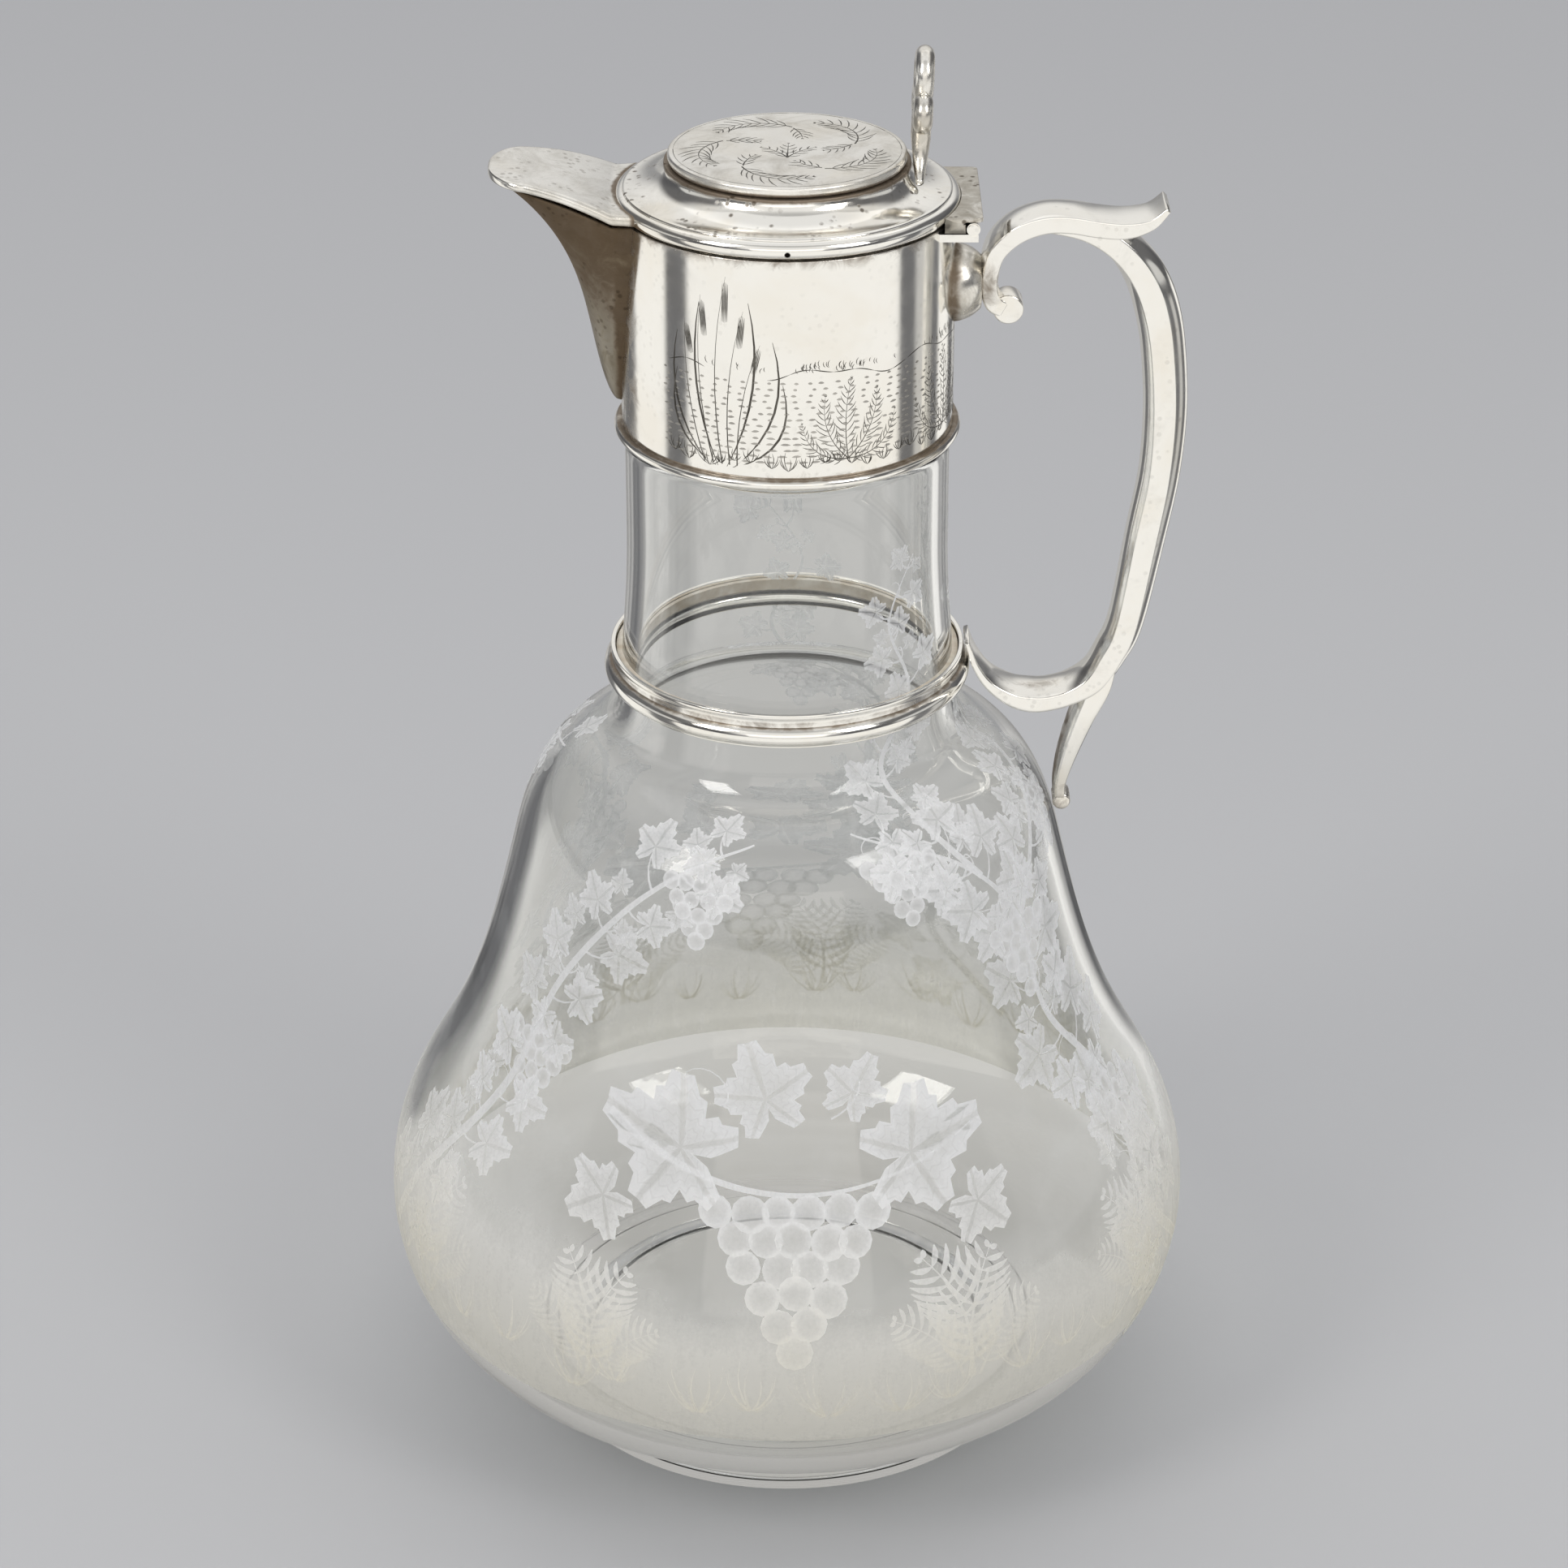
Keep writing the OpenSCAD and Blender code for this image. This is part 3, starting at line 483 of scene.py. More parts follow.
bandTop = ring["z"] + ring["h"]
bandGrid = lathe(roundedLine([[ring["inR"], ring["z"], 0.15], [ring["outR"], ring["z"], 0.15],
                              [ring["outR"], bandTop - 1.2, 0.3], [ring["outR"] + 0.25, bandTop - 0.5, 0.25],
                              [ring["outR"] + 0.1, bandTop, 0.15], [ring["inR"] + 0.2, bandTop, 0.2]]))
# Dirt and painted shade in the crease under the band's lip
addGrid("neckRingBand", bandGrid, "jug", wireSilver, nodes=["neck_ring_band"],
        grime=0.75 * ramp(np.abs(bandGrid[..., 2] - ring["z"] - 4.6), 1.2, 0))
beadGrid = lathe(wireLine(ring["beadMid"], ring["z"] + ring["beadR"] + 0.2, ring["beadR"]))
# Dirt and painted shade where the bead meets the band above and the glass below
addGrid("neckRingBead", beadGrid, "jug", wireSilver, nodes=["neck_ring_bead"],
        grime=0.9 * ramp(np.abs(beadGrid[..., 2] - ring["z"] - ring["beadR"]), 1.2, 2.2))

# collar

collar = {"z": 203.2, "h": 42.4, "inR": 29.3, "outR": 30.2, "wire": 0.95, "spoutW": 13.2, "drop": 37.6}
mouthZ = collar["z"] + collar["h"]


# Half width in mm of the opening from the drum into the beak at a height
def pourHalf(z):
    lowZ = mouthZ - 0.55 * collar["drop"]
    straight = 6 + (collar["spoutW"] - 2.2 - 6) * ramp(z, lowZ, mouthZ + 1)
    rounded = np.sqrt(np.clip(36 - (lowZ - z) ** 2, 0, None))
    return np.where(z > lowZ, straight, rounded)


# The sleeve as a sheet bent round from one edge of the opening to the other: x = r cos a, y = r sin a, where a goes
# from -pi + e(z) to pi - e(z) and e is the opening's half angle; outer skin, rim, inner skin, lower edge
def drumSleeve():
    profile = roundedLine([[collar["outR"], collar["z"], 0.2], [collar["outR"], mouthZ, 0.25],
                           [collar["inR"], mouthZ, 0.25], [collar["inR"], collar["z"], 0.2]])
    fine = []
    for p, q in zip(profile[:-1], profile[1:]):
        count = max(1, int(np.linalg.norm(q - p) / 0.8))
        fine.append(p + (q - p) * np.linspace(0, 1, count, endpoint=False)[:, None])
    profile = np.concatenate(fine + [profile[-1:]])
    half = np.arcsin(np.clip(pourHalf(profile[:, 1]) / profile[:, 0], 0, 0.9))[:, None]
    return around(np.linspace(-1, 1, 281) * (np.pi - half), profile[:, :1], profile[:, 1:])


drumGrid = drumSleeve()
# Dirt and painted shade: darker above the foot wire, under the lid's rim and beside the beak
drumGrime = np.maximum(0.55 * ramp(drumGrid[..., 2], collar["z"] + 5, collar["z"] + 1),
                       0.6 * ramp(drumGrid[..., 2], mouthZ - 5.5, mouthZ) ** 1.5)
nearBeak = ramp(np.abs(drumGrid[..., 1]), 18, 13) * (drumGrid[..., 0] < 0)
addGrid("collarDrum", drumGrid, "jug", drumSilver, nodes=["collar_drum"],
        grime=np.maximum(drumGrime, 0.5 * nearBeak))
footWire = lathe(wireLine(collar["outR"] + 0.5 * collar["wire"], collar["z"] + collar["wire"], collar["wire"], 28))
# Dirt and painted shade along the top of the wire against the drum
addGrid("collarFootWire", footWire, "jug", wireSilver, nodes=["collar_foot_wire"],
        grime=0.8 * ramp(footWire[..., 2] - collar["z"], 1.4, 1.8))
print("collar ready")

# beak

beak = {"reach": 21.0, "drop": 37.6, "width": 13.2, "sheet": 1.0, "coverRise": 5.3, "tipGap": 0.35, "gap": 0.9,
        "rimR": 30.95, "over": 2.0, "coverZ": 246.4}
rootR = collar["outR"]
beakZ = mouthZ - beak["drop"]
coverTip = rootR + beak["reach"] + beak["over"]


def alongCover(x):
    return ramp(x, beak["rimR"], coverTip)


def coverUnder(x):
    q = alongCover(x)
    return beak["coverZ"] + beak["coverRise"] * q * (2 - q)


def beakRim(x):
    return coverUnder(x) - beak["gap"] + (beak["gap"] - beak["tipGap"]) * alongCover(x)


# A power that keeps the sign
def soft(v, power):
    return np.sign(v) * np.abs(v) ** power


# Level s of the beak, 0 at its point and 1 at its rim: x = root + (reach - root) cos(a)^p, y = w sin(a)^p
def beakSkin(s, inset, steps=64):
    s = s[:, None]
    a = np.linspace(-np.pi / 2, np.pi / 2, steps + 1)
    w = np.clip(beak["width"] * s ** 0.55 - 0.9 * inset, 0.02, None)
    reach = rootR + beak["reach"] * (0.4 * np.sqrt(s) + 0.6 * s ** 5) - inset
    root = np.sqrt(rootR ** 2 - w ** 2)
    power = 1.2 - 0.4 * s
    x = root + (reach - root) * soft(np.cos(a), power)
    return np.stack([-x, w * soft(np.sin(a), power), beakZ + s * (beakRim(x) - beakZ)], -1)


levels = np.linspace(0.03, 1, 90) ** 1.1
outerSkin, innerSkin = beakSkin(levels, 0), beakSkin(np.clip(levels + 0.02, 0, 1), beak["sheet"])
beakLip = outerSkin[-1:] * 0.5 + innerSkin[-1:] * 0.5 + np.array([0, 0, 0.12])
spoutGrid = np.concatenate([outerSkin, beakLip, innerSkin[::-1], outerSkin[:1]])
# Dirt and painted shade: darker where the beak meets the drum, and more so upwards to the cover over it
addGrid("beakSpout", spoutGrid, "jug", spoutSilver, nodes=["spout"], centre=(-34, 0, 232),
        grime=np.maximum(0.7 * ramp(np.abs(spoutGrid[..., 0]), rootR + 2.5, rootR),
                         0.34 + 0.42 * ramp(spoutGrid[..., 2], 222, 244)))
print("beak ready")

# lid

lid = {"z": 245.85, "shellR": 29.5, "brimR": 28.9, "wireTop": 249.05, "brimZ": 249.53, "neckR": 22.0, "discZ": 253.8,
       "discR": 21.4, "discT": 2.0, "openR": 17.1, "wireR": 1.6, "wireMid": 29.34, "vent": (0, -30.9, 247.1),
       "ventR": 0.52, "sheet": 0.9, "coverW": 15.2, "coverT": 2.0}


# Part of an ellipse: r = cx + rx cos w, z = cz + rz sin w
def arcLine(cx, cz, rx, rz, start, stop, steps=14):
    w = np.radians(np.linspace(start, stop, steps + 1))
    return np.stack([cx + rx * np.cos(w), cz + rz * np.sin(w)], -1)


# The lid's sheet: wall, turned edge, hollow sweep up to the neck under the disc, and the same lines one sheet inwards
def shellProfile(q):
    sweepR, sweepZ = q["brimR"] - q["neckR"], q["discZ"] - q["brimZ"]
    return np.concatenate([
        [[q["shellR"] - q["sheet"], q["z"]], [q["shellR"], q["z"]], [q["shellR"], q["wireTop"] - 0.3]],
        arcLine(q["brimR"], q["wireTop"], q["shellR"] - q["brimR"], q["brimZ"] - q["wireTop"], 0, 90, 8),
        arcLine(q["brimR"], q["discZ"], sweepR, sweepZ, 267, 180, 34),
        [[q["openR"], q["discZ"]], [q["openR"], q["discZ"] - q["sheet"]]],
        arcLine(q["brimR"], q["discZ"], sweepR + q["sheet"], sweepZ + q["sheet"], 190, 264, 16),
        [[q["shellR"] - q["sheet"], q["brimZ"] - 1.5 * q["sheet"]], [q["shellR"] - q["sheet"], q["z"]]]])


shellGrid = lathe(supported(shellProfile(lid)))
# Painted shadow under the disc's overhang and painted shade low on the wall behind the rim wire
underDisc = ramp(shellGrid[..., 2], lid["discZ"] - 1.1, lid["discZ"] - 0.2)
lowWall = ramp(shellGrid[..., 2], lid["wireTop"] + 0.25, lid["wireTop"] - 0.15)
addGrid("lidShell", shellGrid, "lid", lidSilver, nodes=["lid_shell"], centre=(0, 0, 249),
        grime=np.maximum(underDisc, 0.6 * lowWall))
discTop = lid["discZ"] + lid["discT"]
discLine = roundedLine([[0, lid["discZ"], 0], [lid["discR"] - 0.6, lid["discZ"], 0.3],
                        [lid["discR"], lid["discZ"] + 0.7, 0.5], [lid["discR"] - 0.1, discTop, 0.6],
                        [0, discTop, 0]], closed=False)
discGrid = lathe(discLine)
# Painted shade along the disc's lower edge
addGrid("lidDisc", discGrid, "lid", discSilver, nodes=["lid_disc"], centre=(0, 0, 254.8),
        grime=0.9 * ramp(discGrid[..., 2], lid["discZ"] + 0.7, lid["discZ"] + 0.2))


# The rim wire has a solder vent at its front, a small hole that is not cut; the shade inside it is painted as a
# near-black dot
def rimFinish(hole, size):
    material = silverFinish("rimSilver", tarnish=0.25, pits=0.15, polish=0.085)
    n, shader = Nodes(material.node_tree), material.node_tree.nodes["Principled BSDF"]
    off = n.add("VectorMath", 1, {"operation": "DISTANCE"}, Vector=n.place())
    off.node.inputs[1].default_value = hole
    # painted shade of the vent hole, near black and matt
    inside = n.span(off, 1.15 * size, 0.85 * size)
    for socket, dark in (("Base Color", (0.01, 0.008, 0.006, 1)), ("Roughness", (0.9, 0.9, 0.9, 1))):
        before = shader.inputs[socket].links[0].from_socket
        n.put(shader.inputs[socket], n.mix(inside, before, dark))
    return material


wireGrid = lathe(wireLine(lid["wireMid"], lid["z"] + lid["wireR"], lid["wireR"]))
rimSilver = rimFinish([v * mm for v in lid["vent"]], lid["ventR"] * mm)
# Painted shade along the foot of the wire where it sits on the drum
addGrid("lidRimWire", wireGrid, "lid", rimSilver, nodes=["lid_rim_wire"],
        grime=0.7 * ramp(wireGrid[..., 2] - lid["z"], 0.5, 0.1))


# Half width of the cover at a distance x out: a flank that narrows, then an elliptical end
def coverHalf(x):
    endX, endW, startX = coverTip - 0.44 * lid["coverW"], 0.71 * lid["coverW"], 0.8 * rootR
    t = ramp(x, startX, endX)
    flank = lid["coverW"] + 0.4 + (endW - lid["coverW"] - 0.4) * t * (0.7 + 0.3 * t)
    return np.where(x > endX, endW * np.sqrt(1 - ramp(x, endX, coverTip) ** 2), flank)


# The cover's upper and under side: v runs across and q outwards from the rim's circle to the tip,
# x = xi(v) + (tip - xi(v)) q, y = half(x) v, z = middle(x) +- thickness(x) bulge / 2, where bulge rounds the edge
def coverPlate():
    q = (1 - (1 - np.linspace(0, 1, 70)) ** 1.8)[:, None]
    v = np.sin(np.linspace(-np.pi / 2, np.pi / 2, 61))[None, :]
    seat = lid["wireMid"] + 0.7 * lid["wireR"]
    start = seat + 0 * v
    for _ in range(6):      # settles where the flank meets the rim's circle
        start = np.sqrt(seat ** 2 - (coverHalf(start) * v) ** 2)
    x = start + (coverTip - start) * q
    y = coverHalf(x) * v
    side = np.clip((1 - np.abs(v)) * coverHalf(x) / 0.75, 0, 1)
    front = ramp(x, coverTip, coverTip - 0.75)
    bulge = np.sqrt(np.clip(1 - (1 - np.minimum(side, np.sqrt(front))) ** 2, 0, 1))
    thick = lid["coverT"] - 0.5 * alongCover(x)
    middle = coverUnder(x) + thick * 0.5
    return [np.stack([-x, y, middle + way * thick * bulge], -1) for way in (0.5, -0.5)]


coverTop, coverBottom = coverPlate()
coverGrid = np.concatenate([coverTop, coverBottom[::-1], coverTop[:1]])
fromRim = np.hypot(coverGrid[..., 0], coverGrid[..., 1]) - lid["wireMid"] - lid["wireR"]
# Painted shadow of the lid's edge on the cover by the rim, over a light even dirt
addGrid("spoutCover", coverGrid, "lid", coverSilver, nodes=["spout_cover"], centre=(-40, 0, 250.5),
        grime=np.maximum(0.9 * ramp(fromRim, 1.1, 0), 0.16))
print("lid ready")

# thumbpiece

thumb = {"h": 23.2, "bar": 1.7, "x": 23.8, "z": 251.48, "lean": 0.04}
loopR, scrollR, legR = 0.155 * thumb["h"], 0.085 * thumb["h"], 0.34 * thumb["h"]
loopZ = thumb["z"] + thumb["h"] - loopR - thumb["bar"]
scrollZ = thumb["z"] + 0.53 * thumb["h"]
scrollY = scrollR + thumb["bar"] + 0.7
legZ = scrollZ - 0.62 * legR


# A ring or an arc in the plane of the pin, which leans out a little: y = cy + r cos w, z = cz + r sin w
def thumbArc(cy, cz, r, start, stop, steps=48):
    w = np.radians(np.linspace(start, stop, steps + 1))
    z = cz + r * np.sin(w)
    return np.stack([thumb["x"] + thumb["lean"] * (z - thumb["z"] - 0.5 * thumb["h"]), cy + r * np.cos(w), z], -1)


thumbGrids = [roundBar(thumbArc(0, loopZ, loopR, 0, 360)[:-1], thumb["bar"], closed=True)]
for way in (-1, 1):
    thumbGrids.append(roundBar(thumbArc(way * scrollY, scrollZ, scrollR, 0, 360)[:-1], thumb["bar"], closed=True))
legBar = thumb["bar"] * (1 - 0.55 * np.clip(np.linspace(-0.8, 1, 49), 0, 1))     # the legs thin out downwards
thumbGrids.append(roundBar(thumbArc(legR + 2, legZ, legR, 140, 242), legBar))
thumbGrids.append(roundBar(thumbArc(-legR - 2, legZ, legR, 40, -62), legBar))
addGrids("thumbpiece", thumbGrids, "lid", thumbSilver, nodes=["thumbpiece"], centre=(24.2, 0, 262))

# upper leaf of the hinge

leaf = {"half": 14.0, "rimR": 31.0, "capZ": 247.05, "capT": 0.75, "endX": 34.4, "corner": 0.9, "turnX": 31.3,
        "turnZ": 245.0, "tabX": (31.5, 33.3), "tabZ": (246.2, 247.1), "tabY": (2.9, 8.3)}


# Sections [x, z] across the hinge at places y along it become one closed form
def sectionForm(sections, y):
    return closedEnds(np.stack([sections[..., 0], 0 * sections[..., 0] + y[:, None], sections[..., 1]], -1))


# The cap reaches from the lid's round rim to the knuckles, with round corners, and its inner edge is turned down
def upperLeaf(q):
    y = q["half"] * np.sin(np.linspace(-np.pi / 2, np.pi / 2, 61))
    past = np.clip(np.abs(y) - q["half"] + q["corner"], 0, q["corner"])
    endX = q["endX"] - q["corner"] + np.sqrt(q["corner"] ** 2 - 0.98 * past ** 2)
    rim = np.sqrt(q["rimR"] ** 2 - y ** 2)
    one, t = 1 + 0 * y, np.linspace(0, 1, 5)[:, None]
    top = q["capZ"] + q["capT"]
    corners = [(rim, q["turnZ"] * one, 0.08), (q["turnX"] * one, q["turnZ"] * one, 0.08),
               (q["turnX"] * one, q["capZ"] * one, 0.08), (endX, q["capZ"] * one, 0.12), (endX, top * one, 0.16),
               (rim, top * one, 0.08)]
    rows = []
    for k, (x, z, trim) in enumerate(corners):      # rounded between two points, one trim before and after it
        here = np.stack([x, z], -1)
        a, b = (np.stack(corners[m][:2], -1) - here for m in (k - 1, (k + 1) % 6))
        a, b = (here + trim * unit(v) for v in (a, b))
        rows += [(1 - t[m]) ** 2 * a + 2 * t[m] * (1 - t[m]) * here + t[m] ** 2 * b for m in range(5)]
    sections = np.stack(rows + rows[:1], 1)
    (x0, x1), (z0, z1), (y0, y1) = q["tabX"], q["tabZ"], q["tabY"]
    tab = np.array([[[x0, z0], [x1, z0], [x1, z1], [x0, z1], [x0, z0]]] * 2, float)
    return [sectionForm(sections, y), sectionForm(tab, np.array([-y1, -y0])), sectionForm(tab, np.array([y0, y1]))]


addGrids("hingeUpperLeaf", upperLeaf(leaf), "lid", leafSilver, nodes=["hinge_upper_leaf"], centre=(31.8, 0, 247.2))

# The rest of the hinge, the ring inside the collar's mouth and the plaster keep their CAD shapes
keptNodes = ((castSilver, ("hinge_lower_leaf", "hinge_jug_knuckles", "hinge_pin", "hinge_lid_knuckles",
                           "collar_seat_ring")),
             (plaster, ("neck_ring_plaster", "collar_plaster")))
for finish, nodeNames in keptNodes:
    for nodeName in nodeNames:
        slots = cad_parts[nodeName].data.materials
        slots.clear()
        slots.append(finish)

# handle

handle = {"bossX": 34.9, "bossZ": 231.0, "bossR": 7.2, "ringR": 34.3, "ringZ": 153.4, "waistR": 51.8, "waistZ": 121.3}


def up(dx, dz, *rest):
    return [handle["bossX"] + dx, handle["bossZ"] + dz, *rest]


def down(dx, dz, *rest):
    return [handle["ringR"] + dx, handle["ringZ"] + dz, *rest]


# Knots [x, z, half thickness of the flat face, swell inwards, swell outwards, depth]. The arch runs from the volute
# under it to the thumb rest, the grip leaves it from inside and ends in the crook, and the tail leaves the crook.
archBar = [up(4.1, -4.5, 1.6, .2, .2, 5.4), up(2.2, -3.3, 1.6, .2, .2, 6.0), up(1.4, -.6, 1.4, .3, .3, 7.4),
           up(1.5, 3, 1.4, .4, .4, 8.8), up(2.7, 7, 1.5, .5, .4, 9.8), up(6.1, 10.3, 1.6, .6, .4, 10),
           up(10.8, 12.1, 1.6, .7, .4, 10), up(15.6, 12.2, 1.6, .6, .4, 10), up(20.6, 11.4, 1.6, .3, .4, 10),
           up(25.4, 11.1, 1.5, .2, .4, 10), up(29.9, 12.3, 1.0, .2, .3, 10), up(32.8, 15, .5, .1, .1, 9.8)]
gripBar = [up(12.2, 11.6, 1.0, .1, .1, 9.6), up(18.2, 10.9, 1.75, .8, .1, 9.7), up(22.8, 8.6, 1.95, 1, .3, 9.8),
           up(26.6, 5.2, 2.1, 1.5, 1, 9.9), up(29.4, .9, 2.15, 2, 1.4, 9.9), up(31.4, -4.6, 2.15, 2.3, 1.6, 9.9),
           up(32.8, -12, 2.1, 2.4, 1.6, 9.9), up(33.7, -24, 2.05, 2.4, 1.6, 9.9), down(33.8, 41, 1.9, 2.3, 1.6, 9.9),
           down(31.8, 28.4, 2, 2.1, 1.5, 9.9), down(28.9, 11.1, 1.9, 1.7, 1.3, 9.9),
           down(26.3, 4.4, 1.9, 1.4, 1.1, 9.9),
           down(23.2, -.7, 1.8, .9, .8, 9.9), down(19.1, -3.4, 1.5, .8, .6, 9.9), down(15, -4.7, 1.5, .8, .6, 9.9),
           down(11.4, -4.9, 1.6, .7, .5, 9.9), down(7.6, -3.9, 1.3, .5, .4, 9.8), down(3.6, -1.1, .9, .3, .3, 9.4),
           down(.9, 2.9, .6, .2, .2, 9), down(-.7, 7.4, .4, .1, .1, 8.4)]
tailX, tailZ = handle["waistR"] + 0.4, handle["waistZ"] + 5.6
tailBar = [down(26.3, 4.2, 1.2, .2, .2, 9.7), down(24.4, -1.8, 1.9, .6, 1, 9.7), down(21.6, -8.6, 1.6, .8, .9, 9.2),
           [tailX + 1.2, tailZ + 10.4, 1.3, .7, .7, 8], [tailX - .2, tailZ + 4.4, 1, .4, .4, 6.6],
           [tailX - .3, tailZ + 1, 1, .2, .2, 5.6]]


# Section of the bar: flat faces at y = +-depth/2 that end in small round edges, and between them a crown
# w(c) = half + swell (1 - |c|^2.2) for c = 2y/depth from -1 to 1, on the inner and the outer side
def flatBar(knots, steps=10, edge=0.34):
    path = smoothPath(knots, steps)
    half, inner, outer, depth = (path[:, k:k + 1] for k in range(2, 6))
    way = unit(np.gradient(path[:, :2], axis=0))
    trim = np.minimum(edge, 0.45 * half)
    turn = np.radians([30, 60, 90])
    c = np.sin(np.linspace(-np.pi / 2, np.pi / 2, 19))[1:-1]
    flat = np.array([-0.9, -0.5, 0, 0.5, 0.9])

    # One side of the section: flat face, edge, crown, edge. Turned half round it is also the other side.
    def side(swell):
        edgeX, edgeY = half - trim * (1 - np.sin(turn)), trim * (1 - np.cos(turn)) - depth / 2
        crown = half + swell * (1 - np.abs(c) ** 2.2)
        return (np.concatenate([flat * (half - trim), edgeX, crown, edgeX[:, ::-1]], 1),
                np.concatenate([0 * flat - depth / 2, edgeY, c * (depth / 2 - trim), -edgeY[:, ::-1]], 1))
    (outX, outY), (inX, inY) = side(outer), side(inner)
    across = np.concatenate([outX, -inX, outX[:, :1]], 1)
    y = np.concatenate([outY, -inY, outY[:, :1]], 1)
    return closedEnds(np.stack([path[:, :1] + way[:, 1:] * across, y, path[:, 1:2] - way[:, :1] * across], -1))


# A round end: a disc that bulges a little at its rim
def endDisc(x, z, r, depth, edge=0.5):
    a = circle(48)
    w = np.radians([0, 22, 45, 68, 90])
    line = [[0, -depth / 2], [r - edge * 2, -depth / 2]]
    line += [[r - edge * (1 - math.sin(t)), -(depth / 2 - edge * (1 - math.cos(t)))] for t in w]
    line += [[p[0], -p[1]] for p in line[::-1]]
    line = np.array(line)
    return np.stack([x + line[:, :1] * np.cos(a), line[:, 1:] + 0 * a, z + line[:, :1] * np.sin(a)], -1)


handleGrids = [flatBar(archBar), flatBar(gripBar), flatBar(tailBar), endDisc(*up(4.9, -4.5), 2.75, 5.4, 0.35),
               endDisc(tailX + .1, tailZ, 1.7, 5.4)]
handleX, handleY, handleZ = np.concatenate([q.reshape(-1, 3) for q in handleGrids]).T
# Dirt and painted shade: darker low in the crook by the neck ring, away from the flat faces, and round the boss
crookGrime = ramp(handleZ, 160, 142) * ramp(np.abs(handleY), 5.28, 0.88)
bossGrime = ramp(np.hypot(handleX - handle["bossX"] - 0.1, handleZ - handle["bossZ"]), 10, 1) * (handleX < 41)
addGrids("scrollHandle", handleGrids, "jug", castSilver, nodes=["handle"], centre=(50, 0, 190),
         grime=np.maximum(0.8 * crookGrime, 0.62 * bossGrime))


# Ball boss, cut flat where the handle is soldered on: x = cx + R cos w, r = R sin w about the X axis
def bossBall(q):
    w = np.linspace(0, np.pi, 61)
    x, r = rootR - 0.7 + q["bossR"] * np.cos(w), q["bossR"] * np.sin(w)
    x, r = x[x < q["bossX"]], r[x < q["bossX"]]
    x, r = np.r_[q["bossX"], q["bossX"], x][:, None], np.r_[0, r[0] - 0.3, r][:, None]
    a = circle(96)
    return np.stack([x + 0 * a, r * np.cos(a), q["bossZ"] + r * np.sin(a)], -1)


bossGrid = bossBall(handle)
# Dirt and painted shade where the boss meets the drum
addGrid("handleBoss", bossGrid, "jug", thumbSilver, nodes=["handle_boss"], centre=(29.5, 0, 231),
        grime=0.8 * ramp(bossGrid[..., 0], 33, 30))
print("handle ready")

# frosted engraving on the glass


# Wheel-ground glass: white where it is cut, more or less dense, with the fine grain of the wheel. The group gives how
# much of the surface is cut, its colour and its grain.
def makeWheelFrost():
    group, into, out = startGroup("wheelFrost", [
        ("Vector", "Vector", (0, 0, 0)), ("Density", "Float", 1.0), ("Ragged", "Float", 0.2),
        ("Grain", "Float", 0.3)],
        [("Cover", "Float"), ("Color", "Color"), ("Height", "Float")])
    n, given = Nodes(group), into.outputs
    vector = given["Vector"]
    streaks = n.noise(n.stretch(vector, (1, 1, 0.25)), 420.0, 3.0, 0.6)
    cloud = n.noise(vector, 75.0, 4.0, 0.6, 0.5)
    speck = n.noise(vector, 1500.0, 2.0, 0.6)
    edge = n.plus(given["Density"], n.times(n.minus(cloud, 0.5), given["Ragged"]))
    grain = n.times(n.minus(n.plus(streaks, n.times(speck, 0.5)), 0.75), given["Grain"])
    cover = n.times(n.span(edge, 0.02, 1.0), n.plus(1.0, n.times(grain, 2.2)), clamp=True)
    # Low on the jug the frost turns cream, a painted warm light
    warm = n.span(n.add("SeparateXYZ", 2, Vector=vector), 0.085, 0.03, smooth=True)
    color = n.mix(warm, (0.95, 0.955, 0.955, 1), (0.93, 0.905, 0.81, 1))
    n.fill(out, Cover=cover, Color=color, Height=speck)
    return group


wheelFrost = makeWheelFrost()


# Frost shows the light in front of it and behind it alike, and lets the rest of what is behind show through. On a
# leaf, whose UV holds the turn round its stalk and the reach from it, the veins are clearer and the rim is denser.
def frostFinish(name, most, ragged=0.2, grain=0.3, veins=False):
    material, n, shader = startMaterial(name)
    dense = n.add("Attribute", 2, {"attribute_name": "frost"})
    if veins:
        turn, reach = (n.add("SeparateXYZ", k, Vector=n.add("TexCoord", 2)) for k in (0, 1))
        off = n.math("ABSOLUTE", n.minus(n.math("FRACT", n.times(turn, 5.0)), 0.5))
        main = n.span(n.times(off, reach), 0.02, 0.05, 0.55, 1.0)
        side = n.math("FRACT", n.times(n.minus(reach, n.times(off, 0.9)), 5.0))
        side = n.span(n.math("ABSOLUTE", n.minus(side, 0.5)), 0.04, 0.14, 0.88, 1.0)
        dense = n.times(n.times(dense, n.span(reach, 0.55, 1.0, 0.82, 1.18)), n.times(main, side))
    cut = n.group(wheelFrost, Vector=n.place(), Density=dense, Ragged=ragged, Grain=grain)
    bump = n.add("Bump", Strength=0.25, Distance=0.00003, Height=cut["Height"])
    n.fill(shader, Base_Color=cut["Color"], Roughness=0.55, Specular_IOR_Level=0.35, Normal=bump)
    lit = n.blend(0.45, shader.outputs[0], n.add("BsdfTranslucent", Color=cut["Color"]))
    n.show(n.blend(n.times(cut["Cover"], most, clamp=True), n.add("BsdfTransparent"), lit))
    return material


groundFrost = frostFinish("groundFrost", 0.70, 0.60, 0.30)
leafFrost = frostFinish("leafFrost", 0.92, 0.15, 0.20, veins=True)
stemFrost = frostFinish("stemFrost", 0.90, 0.10, 0.30)

frostBand = {"low": 31.5, "high": 118.0, "hill": 54.0, "fade": 17.0, "lift": 0.03}


